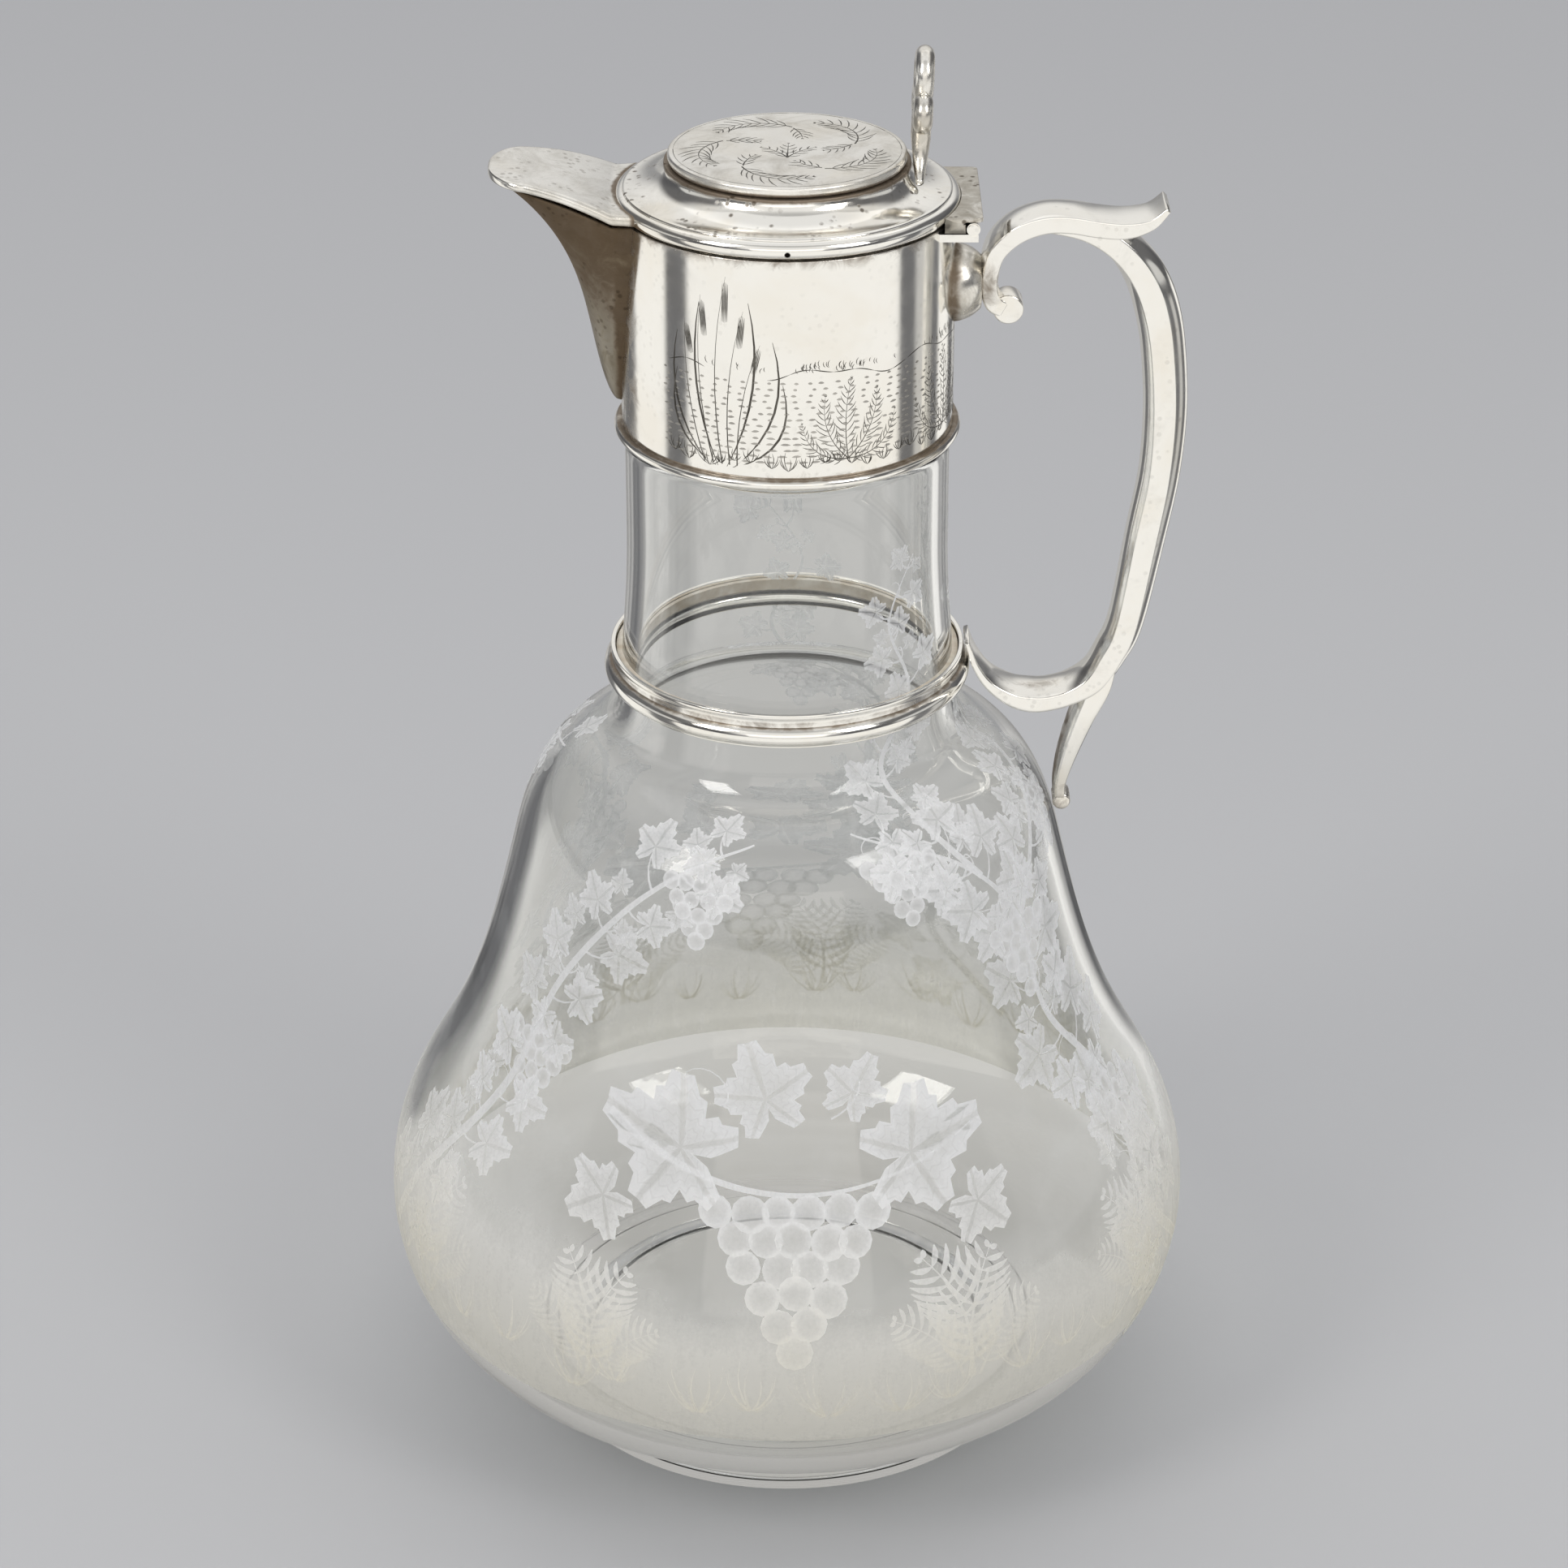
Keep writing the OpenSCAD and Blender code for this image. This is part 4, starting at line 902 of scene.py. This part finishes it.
# Density of the ground band: full near its lower edge, fading above a rolling hill line, which is a sum of sines of
# the angle, with a faint haze of far hills behind
def groundDensity(a, z):
    f = frostBand
    hill = f["hill"] + 3.5 * np.sin(2 * a + 0.6) + 2.2 * np.sin(5 * a + 1.1) + 1.2 * np.sin(11 * a)
    ground = ramp(z, hill + f["fade"], hill) ** 1.5
    back = np.clip(np.sin(a) + 0.35, 0, 1)
    haze = 0.30 * back * ramp(z, f["high"], f["high"] - 30) * (0.65 + 0.35 * np.sin(z / 2.6 + 2.0 * np.sin(3 * a)))
    sides = 0.24 * ramp(np.abs(np.cos(a)), 0.55, 1) * ramp(z, 96, 66)
    return np.maximum(ground, np.maximum(haze, sides)) * ramp(z, f["high"], f["high"] - 12)


bandWay = np.linspace(heightToWay(frostBand["low"]), heightToWay(frostBand["high"]), 90)
bandAngle, bandS = np.meshgrid(np.linspace(-np.pi, np.pi, 361), bandWay)
groundGrid = glassPoint(bandAngle, bandS, frostBand["lift"])
addGrid("groundFrostBand", groundGrid, "jug", groundFrost, slotName="glass", centre=(0, 0, 70),
        frost=groundDensity(bandAngle, groundGrid[..., 2]))


# What follows is drawn flat in mm, u to the right and v up, and then laid on a surface about one place on it
def onGlass(angle, height):
    s0 = heightToWay(height)

    def lay(flat, lift):
        s = s0 + flat[..., 1]
        return glassPoint(angle + flat[..., 0] / wayToRadius(s), s, lift)
    return lay


def turned(flat, angle, scale=1.0, at=(0, 0)):
    c, s = math.cos(angle) * scale, math.sin(angle) * scale
    return np.stack([flat[..., 0] * c - flat[..., 1] * s + at[0], flat[..., 0] * s + flat[..., 1] * c + at[1]], -1)


# Vine leaf: radius rho(t) about the stalk's end, from knots at five lobes with fine teeth, as rings and spokes
def vineLeaf(spokes=40):
    t = np.linspace(-np.pi, np.pi, spokes + 1)
    knots = np.radians([-180, -163, -144, -108, -72, -38, 0, 38, 72, 108, 144, 163, 180])
    rho = np.interp(t, knots, [.16, .48, .74, .50, .90, .60, 1.05, .60, .90, .50, .74, .48, .16])
    rho = rho * (1 + 0.07 * np.where(np.arange(spokes + 1) % 2, 1, -1))
    ringAt = np.array([0, .55, 1])[:, None]
    r = ringAt * rho
    flat = np.stack([r * np.sin(t), r * np.cos(t)], -1)
    uv = np.stack(np.broadcast_arrays(t / (2 * np.pi) + 0.5, ringAt), -1)
    return flat, uv


# Ribbon along a flat path: path(t) + c w(t) n(t) for c from -1 to 1, narrow at both ends unless blunt
def ribbon(path, width, blunt=False, across=2):
    way = np.gradient(path, axis=0)
    way /= np.linalg.norm(way, axis=1)[:, None] + 1e-9
    n = np.stack([-way[:, 1], way[:, 0]], -1)
    t = np.linspace(0, 1, len(path))
    w = width * (1 - 0.85 * t if blunt else np.sin(np.pi * np.clip(t * 0.96 + 0.02, 0, 1)) ** 0.6)
    c = np.linspace(-1, 1, across)[:, None, None]
    return (path[None] + c * (n * (w / 2)[:, None])[None]).swapaxes(0, 1)


def bend(start, stop, sag, steps=7):
    start, stop = np.array(start, float), np.array(stop, float)
    t = np.linspace(0, 1, steps)[:, None]
    side = np.array([-(stop - start)[1], (stop - start)[0]])
    return start + (stop - start) * t + side * sag * 4 * t * (1 - t)


def heading(angle):
    return np.array([math.cos(angle), math.sin(angle)])


# Points at shares t of a flat path, and the way it runs there
def alongRib(rib, t):
    base = np.stack([np.interp(t, np.linspace(0, 1, len(rib)), rib[:, k]) for k in (0, 1)], -1)
    ahead = np.gradient(base, axis=0)
    return base, np.arctan2(ahead[:, 1], ahead[:, 0])


leafFlat, leafUv = vineLeaf()
leafSet, leafSetUv, leafTone = [], [], []
stemSet, stemTone = [], []


def putLeaf(lay, at, angle, size, tone):
    leafSet.append(lay(turned(leafFlat, angle, size, at), 0.05 + 0.002 * (len(leafSet) % 17)))
    leafSetUv.append(leafUv)
    leafTone.append(np.full(leafFlat.shape[:2], tone))


def putStem(lay, path, width, tone, blunt=True):
    stemSet.append(lay(ribbon(path, width, blunt), 0.045 + 0.001 * (len(stemSet) % 11)))
    stemTone.append(np.full(stemSet[-1].shape[:2], tone))


# Bunch of grapes: rows of round berries that get shorter downwards, each a disc that is denser at its rim
def putGrapes(lay, at, size, rows=5):
    a = circle(12)
    berry = np.array([0, 0.6, 1.0])[:, None, None] * np.stack([np.cos(a), np.sin(a)], -1)
    for row in range(rows):
        count = rows - row
        for c in range(count):
            u = (c - (count - 1) / 2) * 1.75 + rng.normal(0, 0.12)
            v = -row * 1.55 + rng.normal(0, 0.12)
            flat = berry * size * rng.uniform(0.92, 1.08) + (at[0] + u * size, at[1] + v * size)
            stemSet.append(lay(flat, 0.06 + 0.002 * (len(stemSet) % 9)))
            stemTone.append(np.broadcast_to(np.array([0.50, 0.72, 1.15])[:, None] * rng.uniform(0.8, 1.0),
                                            berry.shape[:2]))


# Tendril: a line that winds up into a coil, radius k (1 - t) about a moving centre
def putTendril(lay, at, angle, size, way=1):
    t = np.linspace(0, 1, 16)
    w = way * 7.5 * t ** 1.4
    r = size * 0.32 * (1 - 0.8 * t)
    path = np.stack([size * t * 0.8 + r * np.sin(w), r * (1 - np.cos(w)) * way], -1)
    putStem(lay, turned(path, angle, 1.0, at), 0.40, 0.85)


# Fern frond: leaflets in pairs along a bent rib, each a thin pointed ellipse
def putFrond(lay, at, angle, size, sag, tone, pairs=11):
    rib = turned(bend((0, 0), (0, size), sag, 12), angle, 1.0, at)
    putStem(lay, rib, size * 0.035, tone)
    t = np.linspace(0.14, 0.97, pairs)
    base, lean = alongRib(rib, t)
    length = size * 0.36 * np.sin(np.pi * (0.12 + 0.88 * t)) ** 0.7
    for k in range(pairs):
        for side in (-1, 1):
            tip = base[k] + length[k] * heading(lean[k] + side * 0.95)
            putStem(lay, bend(base[k], tip, 0.10 * side, 5), size * 0.045, tone, blunt=False)


# Tuft of grass: blades that fan out from one foot
def putGrass(lay, at, height, blades, tone, spread=0.7):
    for lean in np.linspace(-spread, spread, blades) + rng.normal(0, 0.08, blades):
        high = height * rng.uniform(0.6, 1.0) * math.cos(lean * 0.8)
        foot = (at[0] + lean * height * 0.12, at[1])
        tip = (foot[0] + high * math.sin(lean), foot[1] + high * math.cos(lean))
        putStem(lay, bend(foot, tip, -0.10 * np.sign(lean), 5), 0.55, tone * rng.uniform(0.8, 1.1))


# A vine that climbs through knots (angle in degrees, height in mm), with leaves by turns on each side
def climbVine(knots, thick, leafSize, every, bunches=()):
    knots = np.array(knots, float)
    path = smoothPath(knots, 14)
    angle, height = np.radians(path[:, 0]), path[:, 1]
    s = heightToWay(height)
    r = wayToRadius(s)
    middle = len(path) // 2
    flat = np.stack([(angle - angle[middle]) * r, s - s[middle]], -1)
    stem = ribbon(flat, thick, blunt=True)
    # laid out in the surface's own coordinates, so that a long vine isn't stretched by the change of radius
    stemSet.append(glassPoint(angle[middle] + stem[..., 0] / r[:, None], stem[..., 1] + s[middle], 0.04))
    stemTone.append(np.full(stem.shape[:2], 0.95))
    length = lengths(flat)
    side = 1
    for way in np.arange(every * 0.6, length[-1], every):
        k = int(np.searchsorted(length, way)) - 1
        here = onGlass(angle[k], height[k])
        ahead = flat[min(k + 1, len(flat) - 1)] - flat[max(k - 1, 0)]
        lean = math.atan2(ahead[1], ahead[0])
        small = leafSize * (1.0 - 0.35 * way / length[-1]) * rng.uniform(0.8, 1.15)
        turn = lean + side * rng.uniform(0.75, 1.25)
        stalk = small * rng.uniform(0.9, 1.4)
        end = stalk * heading(turn)
        putStem(here, bend((0, 0), end, 0.12 * side, 5), 0.55, 0.9)
        putLeaf(here, end, turn - math.pi / 2 + rng.normal(0, 0.35), small, rng.uniform(0.70, 1.0))
        if rng.random() < 0.55:
            turn = lean - side * rng.uniform(0.5, 1.3)
            putLeaf(here, 0.8 * stalk * heading(turn), turn - math.pi / 2 + rng.normal(0, 0.4), small * 0.62,
                    rng.uniform(0.45, 0.8))
        if rng.random() < 0.35:
            putTendril(here, (0, 0), lean - side * 0.9, small * 1.1, side)
        side = -side
    for share, size in bunches:
        k = int(share * (len(path) - 1))
        here = onGlass(angle[k], height[k])
        drop = size * 1.6
        putStem(here, bend((0, 0), (size * 0.6, -drop), 0.15, 5), 0.6, 0.95)
        putGrapes(here, (size * 0.6, -drop - size * 0.6), size)
        putLeaf(here, (size * 0.4, 0.5), rng.normal(2.6, 0.3), size * 2.6, 0.9)


vine = {"leaf": 7.8, "every": 6.4, "thick": 2.6, "fine": 5.4, "motif": 1.32}


def thickVine(knots, bunches, leaf=vine["leaf"], every=vine["every"]):
    climbVine(knots, vine["thick"], leaf, every, bunches)


thickVine([[-166, 44], [-158, 62], [-147, 84], [-140, 106], [-126, 124], [-112, 134], [-98, 138.5]],
          [(0.45, 2.0), (0.86, 1.7)])
thickVine([[-14, 40], [-26, 58], [-21, 78], [-33, 98], [-36, 118], [-50, 132], [-74, 139.5]],
          [(0.38, 2.2), (0.70, 2.0), (0.94, 1.7)], 9.0, 5.4)
climbVine([[-36, 116], [-24, 128], [-12, 138], [2, 148], [16, 162], [4, 176], [16, 190]], 1.6, 6.2, 4.8, [(0.3, 1.6)])
climbVine([[-44, 128], [-58, 146], [-44, 160], [-52, 174], [-40, 186]], 1.4, vine["fine"], 4.8)
thickVine([[52, 44], [64, 62], [58, 84], [72, 106], [66, 126], [84, 136], [104, 139]], [(0.5, 2.0), (0.85, 1.7)])
thickVine([[150, 44], [138, 64], [146, 86], [134, 108], [142, 126], [162, 135], [184, 139]], [(0.5, 2.0), (0.9, 1.7)])
climbVine([[66, 127], [80, 138], [96, 150], [84, 164], [98, 176]], 1.3, vine["fine"], 5.2)


# A large bunch between two spread leaves, in the middle of the front and of the back
def putMotif(facing, k):
    lay = onGlass(math.radians(facing), 80)
    putStem(lay, bend((-26 * k, 7 * k), (27 * k, 5 * k), -0.14, 24), 1.7, 0.95)
    putGrapes(lay, (1.5, -4 * k), 2.5 * k, 6)
    for u, v, lean, size, tone in ((-15, 4, 70, 12.5, 0.95), (17.5, 3, -75, 11.5, 0.92), (-3, 12, 18, 8.5, 0.85),
                                   (-27, -5, 120, 7.0, 0.8), (28, -6, -130, 6.6, 0.8), (9, 12.5, -30, 6.0, 0.8)):
        putLeaf(lay, (u * k, v * k), math.radians(lean), size * k, tone)
    putTendril(lay, (8, 12), 0.4, 11 * k, 1)
    putTendril(lay, (-12, 14), 2.6, 9 * k, -1)


# Grasses and clumps of fern that stand in the ground band
def plantBand():
    for a in np.radians(np.arange(-180, 180, 9.5)):
        lay = onGlass(a + rng.normal(0, 0.02), 37 + 5 * rng.random())
        putGrass(lay, (0, 0), rng.uniform(9, 15), 9, 0.85)
    for a, size in ((-118, 24), (-64, 27), (-152, 26), (-30, 24), (12, 26), (40, 25), (84, 27), (118, 25), (168, 26)):
        lay = onGlass(math.radians(a), 42)
        for lean, share in ((-0.75, 0.75), (-0.28, 1.0), (0.25, 0.95), (0.8, 0.7)):
            putFrond(lay, (lean * 2, 0), -lean, size * share, 0.12 * np.sign(lean), 0.8)


for facing in (-90, 95):
    putMotif(facing, vine["motif"])
plantBand()
addGrids("vineLeaves", leafSet, "jug", leafFrost, uvs=leafSetUv, slotName="glass", centre=(0, 0, 90), merge=False,
         frost=np.concatenate([tone.ravel() for tone in leafTone]))
addGrids("vineStems", stemSet, "jug", stemFrost, slotName="glass", centre=(0, 0, 90), merge=False,
         frost=np.concatenate([tone.ravel() for tone in stemTone]))
print("glass engraving", len(leafSet), len(stemSet))

# engraving on the silver


# Cut metal: darker than the polished silver round it, which is painted shade for grooves that the raised strokes
# don't sink, with a tone that wanders
def cutFinish(name, dark, light, rough):
    material, n, shader = startMaterial(name)
    tone = n.span(n.noise(n.place(), 160.0, 3.0, 0.6), 0.35, 0.7)
    n.fill(shader, Base_Color=n.mix(tone, dark, light), Roughness=rough, Metallic=1.0)
    return material


cutSilver = cutFinish("cutSilver", (0.07, 0.064, 0.055, 1), (0.19, 0.18, 0.16, 1), 0.42)
softCut = cutFinish("softCut", (0.40, 0.385, 0.36, 1), (0.62, 0.60, 0.56, 1), 0.38)
cuts = {"drum": [], "dabs": [], "disc": []}


def onDrum(angle, height):
    def lay(flat, lift):
        a = math.radians(angle) + flat[..., 0] / collar["outR"]
        return around(a, collar["outR"] + lift, height + flat[..., 1])
    return lay


def onDisc(flat, lift):
    return np.stack([flat[..., 0], flat[..., 1], discTop + lift + 0 * flat[..., 0]], -1)


# A stroke of the graver: a thin ribbon with a low ridge along the middle, which catches the light on either side
def cut(target, lay, path, width, blunt=False, lift=0.012):
    flat = ribbon(np.asarray(path, float), width, blunt, 3)
    ridge = np.array([0, 0.016, 0])[None, :] + lift + 0 * flat[..., 0]
    cuts[target].append(lay(flat, ridge))


# Fern: leaflets in pairs that lean forwards along a rib, longest below the middle
def cutFern(target, lay, rib, pairs, long, width=0.16):
    cut(target, lay, rib, width * 1.3, True)
    t = np.linspace(0.08, 0.97, pairs)
    base, lean = alongRib(rib, t)
    length = long * np.sin(np.pi * (0.2 + 0.8 * t)) ** 0.8
    for k in range(pairs):
        for side in (-1, 1):
            way = heading(lean[k] + side * rng.uniform(0.55, 0.8))
            tip = base[k] + length[k] * rng.uniform(0.85, 1.1) * way
            cut(target, lay, bend(base[k], tip, 0.08 * side, 4), width)


def cutTuft(target, lay, at, height, blades, width=0.16, spread=0.75):
    for lean in np.linspace(-spread, spread, blades) + rng.normal(0, 0.1, blades):
        high = height * rng.uniform(0.55, 1.0)
        tip = (at[0] + high * math.sin(lean), at[1] + high * math.cos(lean))
        cut(target, lay, bend(at, tip, -0.12 * np.sign(lean), 4), width)


# Reed mace: a stem, a closely hatched head and long folded leaves
def cutReed(target, lay, foot, height, lean):
    top = (foot[0] + lean, foot[1] + height)
    cut(target, lay, bend(foot, top, 0.05, 9), 0.24, True)
    head = height * 0.22
    for c in np.linspace(-0.5, 0.5, 6):
        low = (top[0] - lean * 0.30 + c, top[1] - head * 1.1 + 0.5 * abs(c))
        high = (top[0] - lean * 0.08 + c, top[1] - head * 0.12 - 0.9 * abs(c))
        cut(target, lay, bend(low, high, 0.0, 4), 0.17)


# One reach of a river bank, of which each repeat round the collar is a little different: reeds at one side, ferns at
# the other, rows of soft dabs for the water between them and a line for the far bank
def cutBank(angle, m):
    lay = onDrum(angle, collar["z"])
    for foot, height, lean in ((-13.5, 31, -2.4), (-11.8, 35, 0.8), (-10.4, 29, 2.6), (-15.2, 26, -4.0),
                               (-9.0, 23, 4.2)):
        cutReed("drum", lay, (foot * m, 4.0), height, lean * m)
    for foot, height, lean, sag in ((-14.4, 24, -6.5, .14), (-12.6, 30, -3.6, .08), (-10.9, 31, 4.0, -.09),
                                    (-9.6, 24, 7.0, -.16), (-13.0, 17, -8.0, .22), (-9.8, 16, 9.0, -.24)):
        cut("drum", lay, bend((foot * m, 3.6), ((foot + lean) * m, 3.6 + height), sag * m, 9), 0.42)
    for u, v, sag, long in ((-8.5, 7.5, .22, 2.4), (-4.2, 12.5, .14, 2.9), (0.6, 15.5, .05, 3.1),
                            (5.6, 13.0, -.12, 2.9), (9.6, 8.0, -.22, 2.4)):
        rib = bend((11 * m, 5.2), ((11 + u) * m, 5.2 + v), sag * m, 12)
        cutFern("drum", lay, rib, 12, long)
    for u in np.linspace(-21, 21, 15):
        cutTuft("drum", lay, (u + rng.normal(0, 0.5), 3.4 + 1.6 * math.sin(u / 5.0) ** 2), rng.uniform(2.2, 4.0), 6)
    far = np.linspace(-23, 23, 60)
    line = np.stack([far, 21.5 + 0.8 * np.sin(far / 4.0) + 0.4 * np.sin(far / 1.7)], -1)
    for k in range(0, 56, 5):
        if abs(line[k, 0] + 12 * m) > 5:
            cut("drum", lay, line[k:k + 6], 0.20)
    for u in np.r_[rng.uniform(2, 14, 34), rng.uniform(-22, 22, 14)] * m:     # low bushes along the far bank
        v = 21.7 + rng.uniform(0.0, 1.2)
        cut("drum", lay, bend((u, v), (u + rng.uniform(-.4, .4), v + rng.uniform(0.7, 1.4)), 0.2, 4), 0.15)
    for v in np.arange(5.0, 20.6, 1.15):
        for u in np.arange(-23, 23, 2.5) + rng.uniform(-0.6, 0.6):
            u, long = u + rng.normal(0, 0.35), rng.uniform(0.45, 0.75) * (1.3 - (v - 5) / 26)
            cut("dabs", lay, bend((u - long, v), (u + long, v + rng.normal(0, .05)), 0.04, 4), 0.46, lift=0.006)


for angle, mirror in ((-90, 1), (-2, -1), (88, 1)):
    cutBank(angle, mirror)
addGrids("collarDabs", cuts["dabs"], "jug", softCut, centre=(0, 0, 224), merge=False, smooth=False)
addGrids("collarEngraving", cuts["drum"], "jug", cutSilver, centre=(0, 0, 224), merge=False, smooth=False)


# The lid's disc: an open wreath of ferns that follow one another round the rim, with smaller ones at their feet, a
# sprig of three in the middle and a fine line round the edge
def cutWreath():
    for start in np.radians(np.arange(14, 374, 72)):
        a = start + np.linspace(0, 1.02, 14)
        r = 12.4 + 3.8 * np.sin(np.linspace(0, 1, 14) * 2.2)
        cutFern("disc", onDisc, np.stack([r * np.cos(a), r * np.sin(a)], -1), 10, 4.8, 0.25)
        a = start - np.linspace(0.02, 0.36, 10)
        r = 11.8 - 5.4 * np.linspace(0, 1, 10)
        cutFern("disc", onDisc, np.stack([r * np.cos(a), r * np.sin(a)], -1), 5, 3.0, 0.23)
    for lean in (-0.85, 0.0, 0.85):
        tip = np.array([6.6 * math.sin(lean) + 0.2, 6.6 * math.cos(lean) - 3.2])
        cutFern("disc", onDisc, bend((0, -4.6), tip, 0.10 * lean, 10), 5, 2.5, 0.23)
    a = circle(96)
    for k in range(0, 96, 8):
        cut("disc", onDisc, 20.3 * np.stack([np.cos(a[k:k + 9]), np.sin(a[k:k + 9])], -1), 0.14, True)


cutWreath()
addGrids("lidEngraving", cuts["disc"], "lid", cutSilver, centre=(0, 0, 240), merge=False, smooth=False)
print("silver engraving", {name: len(strokes) for name, strokes in cuts.items()})

# stage, lights, camera

studio = {"floor": (0.44, 0.444, 0.45, 1), "horizon": (0.36, 0.364, 0.37, 1), "fill": (0.80, 0.80, 0.824, 1),
          "table": (1.0, 0.985, 0.95, 1), "paintedDarkFlag": (0.17, 0.17, 0.175, 1), "wall": (0.84, 0.83, 0.81, 1),
          "lowWall": (0.30, 0.30, 0.305, 1), "overhead": (0.46, 0.455, 0.445, 1), "side": (0.07, 0.07, 0.075, 1),
          "panel": (0.62, 0.62, 0.61, 1)}
# from, to, soft edge in degrees of atan2(y, x), and depth
flagBands = ((-9, 34, 2.5, 1), (53, 66, 3, 1), (66, 118, 6, 0.62), (118, 143, 4, 1), (180, 199, 2.5, 1))
# place and size in metres, power in watts, tint
softboxes = {"leftWindow": ((-0.84, -0.70, 1.02), 0.42, 0.64, 5.2, (1, 0.98, 0.95)),
             "rightWindow": ((0.80, -0.76, 1.00), 0.42, 0.64, 4.42, (1, 0.99, 0.97)),
             "ceiling": ((0.0, 0.25, 1.5), 1.5, 1.3, 2.2, (1, 1, 1)),
             "frontFill": ((0.0, -1.7, 0.6), 1.5, 0.8, 2.4, (1, 0.96, 0.90))}


# The floor is pale and plain. In reflections only it glows as a painted bright table with soft painted grey flags
# round the jug, dimmer near the jug as a painted shadow. Their bands are measured from -90 to 270 degrees, and one of
# them has a paler middle.
def floorFinish():
    material, n, shader = startMaterial("paleFloor")
    n.fill(shader, Base_Color=studio["floor"], Roughness=0.8, Specular_IOR_Level=0.2)
    place = n.place()
    x, y = (n.add("SeparateXYZ", k, Vector=place) for k in (0, 1))
    angle = n.math("WRAP", n.math("DEGREES", n.math("ARCTAN2", y, x)), 270.0, -90.0)
    away = n.add("VectorMath", 1, {"operation": "LENGTH"}, Vector=place)

    def band(start, stop, edge, depth):
        return n.times(n.times(n.span(angle, start - edge, start + edge, smooth=True),
                               n.span(angle, stop + edge, stop - edge, smooth=True)), depth)
    flags = 0.0
    for one in flagBands:
        flags = n.math("MAXIMUM", flags, band(*one))
    flags = n.times(n.times(flags, n.minus(1.0, band(6, 18, 2.5, 0.5))), n.span(away, 0.12, 0.22))
    # painted reflection: the glow that gloss sees, dimmer close to the jug as a painted shadow
    paintedReflection = n.add("Emission", Color=n.mix(flags, studio["table"], studio["paintedDarkFlag"]),
                 Strength=n.span(away, 0.06, 0.26, 0.45, 0.95))
    n.show(n.blend(n.add("LightPath", 3), shader.outputs[0], paintedReflection))
    return material


floorMesh = bpy.data.meshes.new("floor")
floorMesh.from_pydata([(-6, -6, 0), (6, -6, 0), (6, 6, 0), (-6, 6, 0)], [], [(0, 1, 2, 3)])
floorMesh.materials.append(floorFinish())
floor = bpy.data.objects.new("floor", floorMesh)
bpy.context.scene.collection.objects.link(floor)


def softbox(name, place, wide, high, power, tint):
    light = bpy.data.lights.new(name, "AREA")
    light.shape, light.size, light.size_y, light.energy, light.color = "RECTANGLE", wide, high, power, tint
    lamp = bpy.data.objects.new(name, light)
    lamp.location = place
    lamp.rotation_euler = (Vector((0, 0, 0.15)) - Vector(place)).to_track_quat("-Z", "Y").to_euler()
    lamp.visible_camera = False
    bpy.context.scene.collection.objects.link(lamp)


for lampName, facts in softboxes.items():
    softbox(lampName, *facts)


# The room: plain behind the jug and through it, an even fill for matt surfaces, and for gloss pale walls that are
# darker at each side, near the floor and overhead, where the ceiling lamp adds its own light
def makeRoom():
    world = bpy.data.worlds.new("studio")
    bpy.context.scene.world = world
    world.use_nodes = True
    n = Nodes(world.node_tree)
    way = n.add("TexCoord", 0)
    rise = n.add("SeparateXYZ", 2, Vector=way)
    across = n.math("ABSOLUTE", n.add("SeparateXYZ", 0, Vector=way))
    gloss = n.mix(n.span(rise, 0.10, 0.40, smooth=True), studio["lowWall"], studio["wall"])
    gloss = n.mix(n.span(rise, 0.70, 0.95, smooth=True), gloss, studio["overhead"])
    side = n.times(n.span(across, 0.42, 0.62, smooth=True), n.span(rise, 0.80, 0.60, smooth=True))
    gloss = n.mix(n.times(side, 0.92), gloss, studio["side"])
    panel = n.times(n.span(rise, 0.05, 0.09), n.span(rise, 0.34, 0.30))
    gloss = n.mix(n.times(n.span(across, 0.90, 0.93, smooth=True), panel), gloss, studio["panel"])
    camera, glossy, through = (n.add("LightPath", k) for k in (0, 3, 6))
    color = n.mix(n.math("MAXIMUM", camera, through), n.mix(glossy, studio["fill"], gloss), studio["horizon"])
    n.fill(world.node_tree.nodes["Background"], Color=color, Strength=1.0)


makeRoom()

# The camera looks down at the jug from in front
view = {"lens": 96.9, "place": (-0.59, -717.5, 496.5), "down": 27.1}
lens = bpy.data.cameras.new("camera")
lens.sensor_width, lens.lens = 36.0, view["lens"]
lens.clip_start, lens.clip_end = 0.01, 50
camera = bpy.data.objects.new("camera", lens)
camera.location = [v * mm for v in view["place"]]
camera.rotation_euler = (math.radians(90 - view["down"]), 0, 0)
bpy.context.scene.collection.objects.link(camera)
bpy.context.scene.camera = camera
bpy.context.scene.view_settings.view_transform = "Standard"
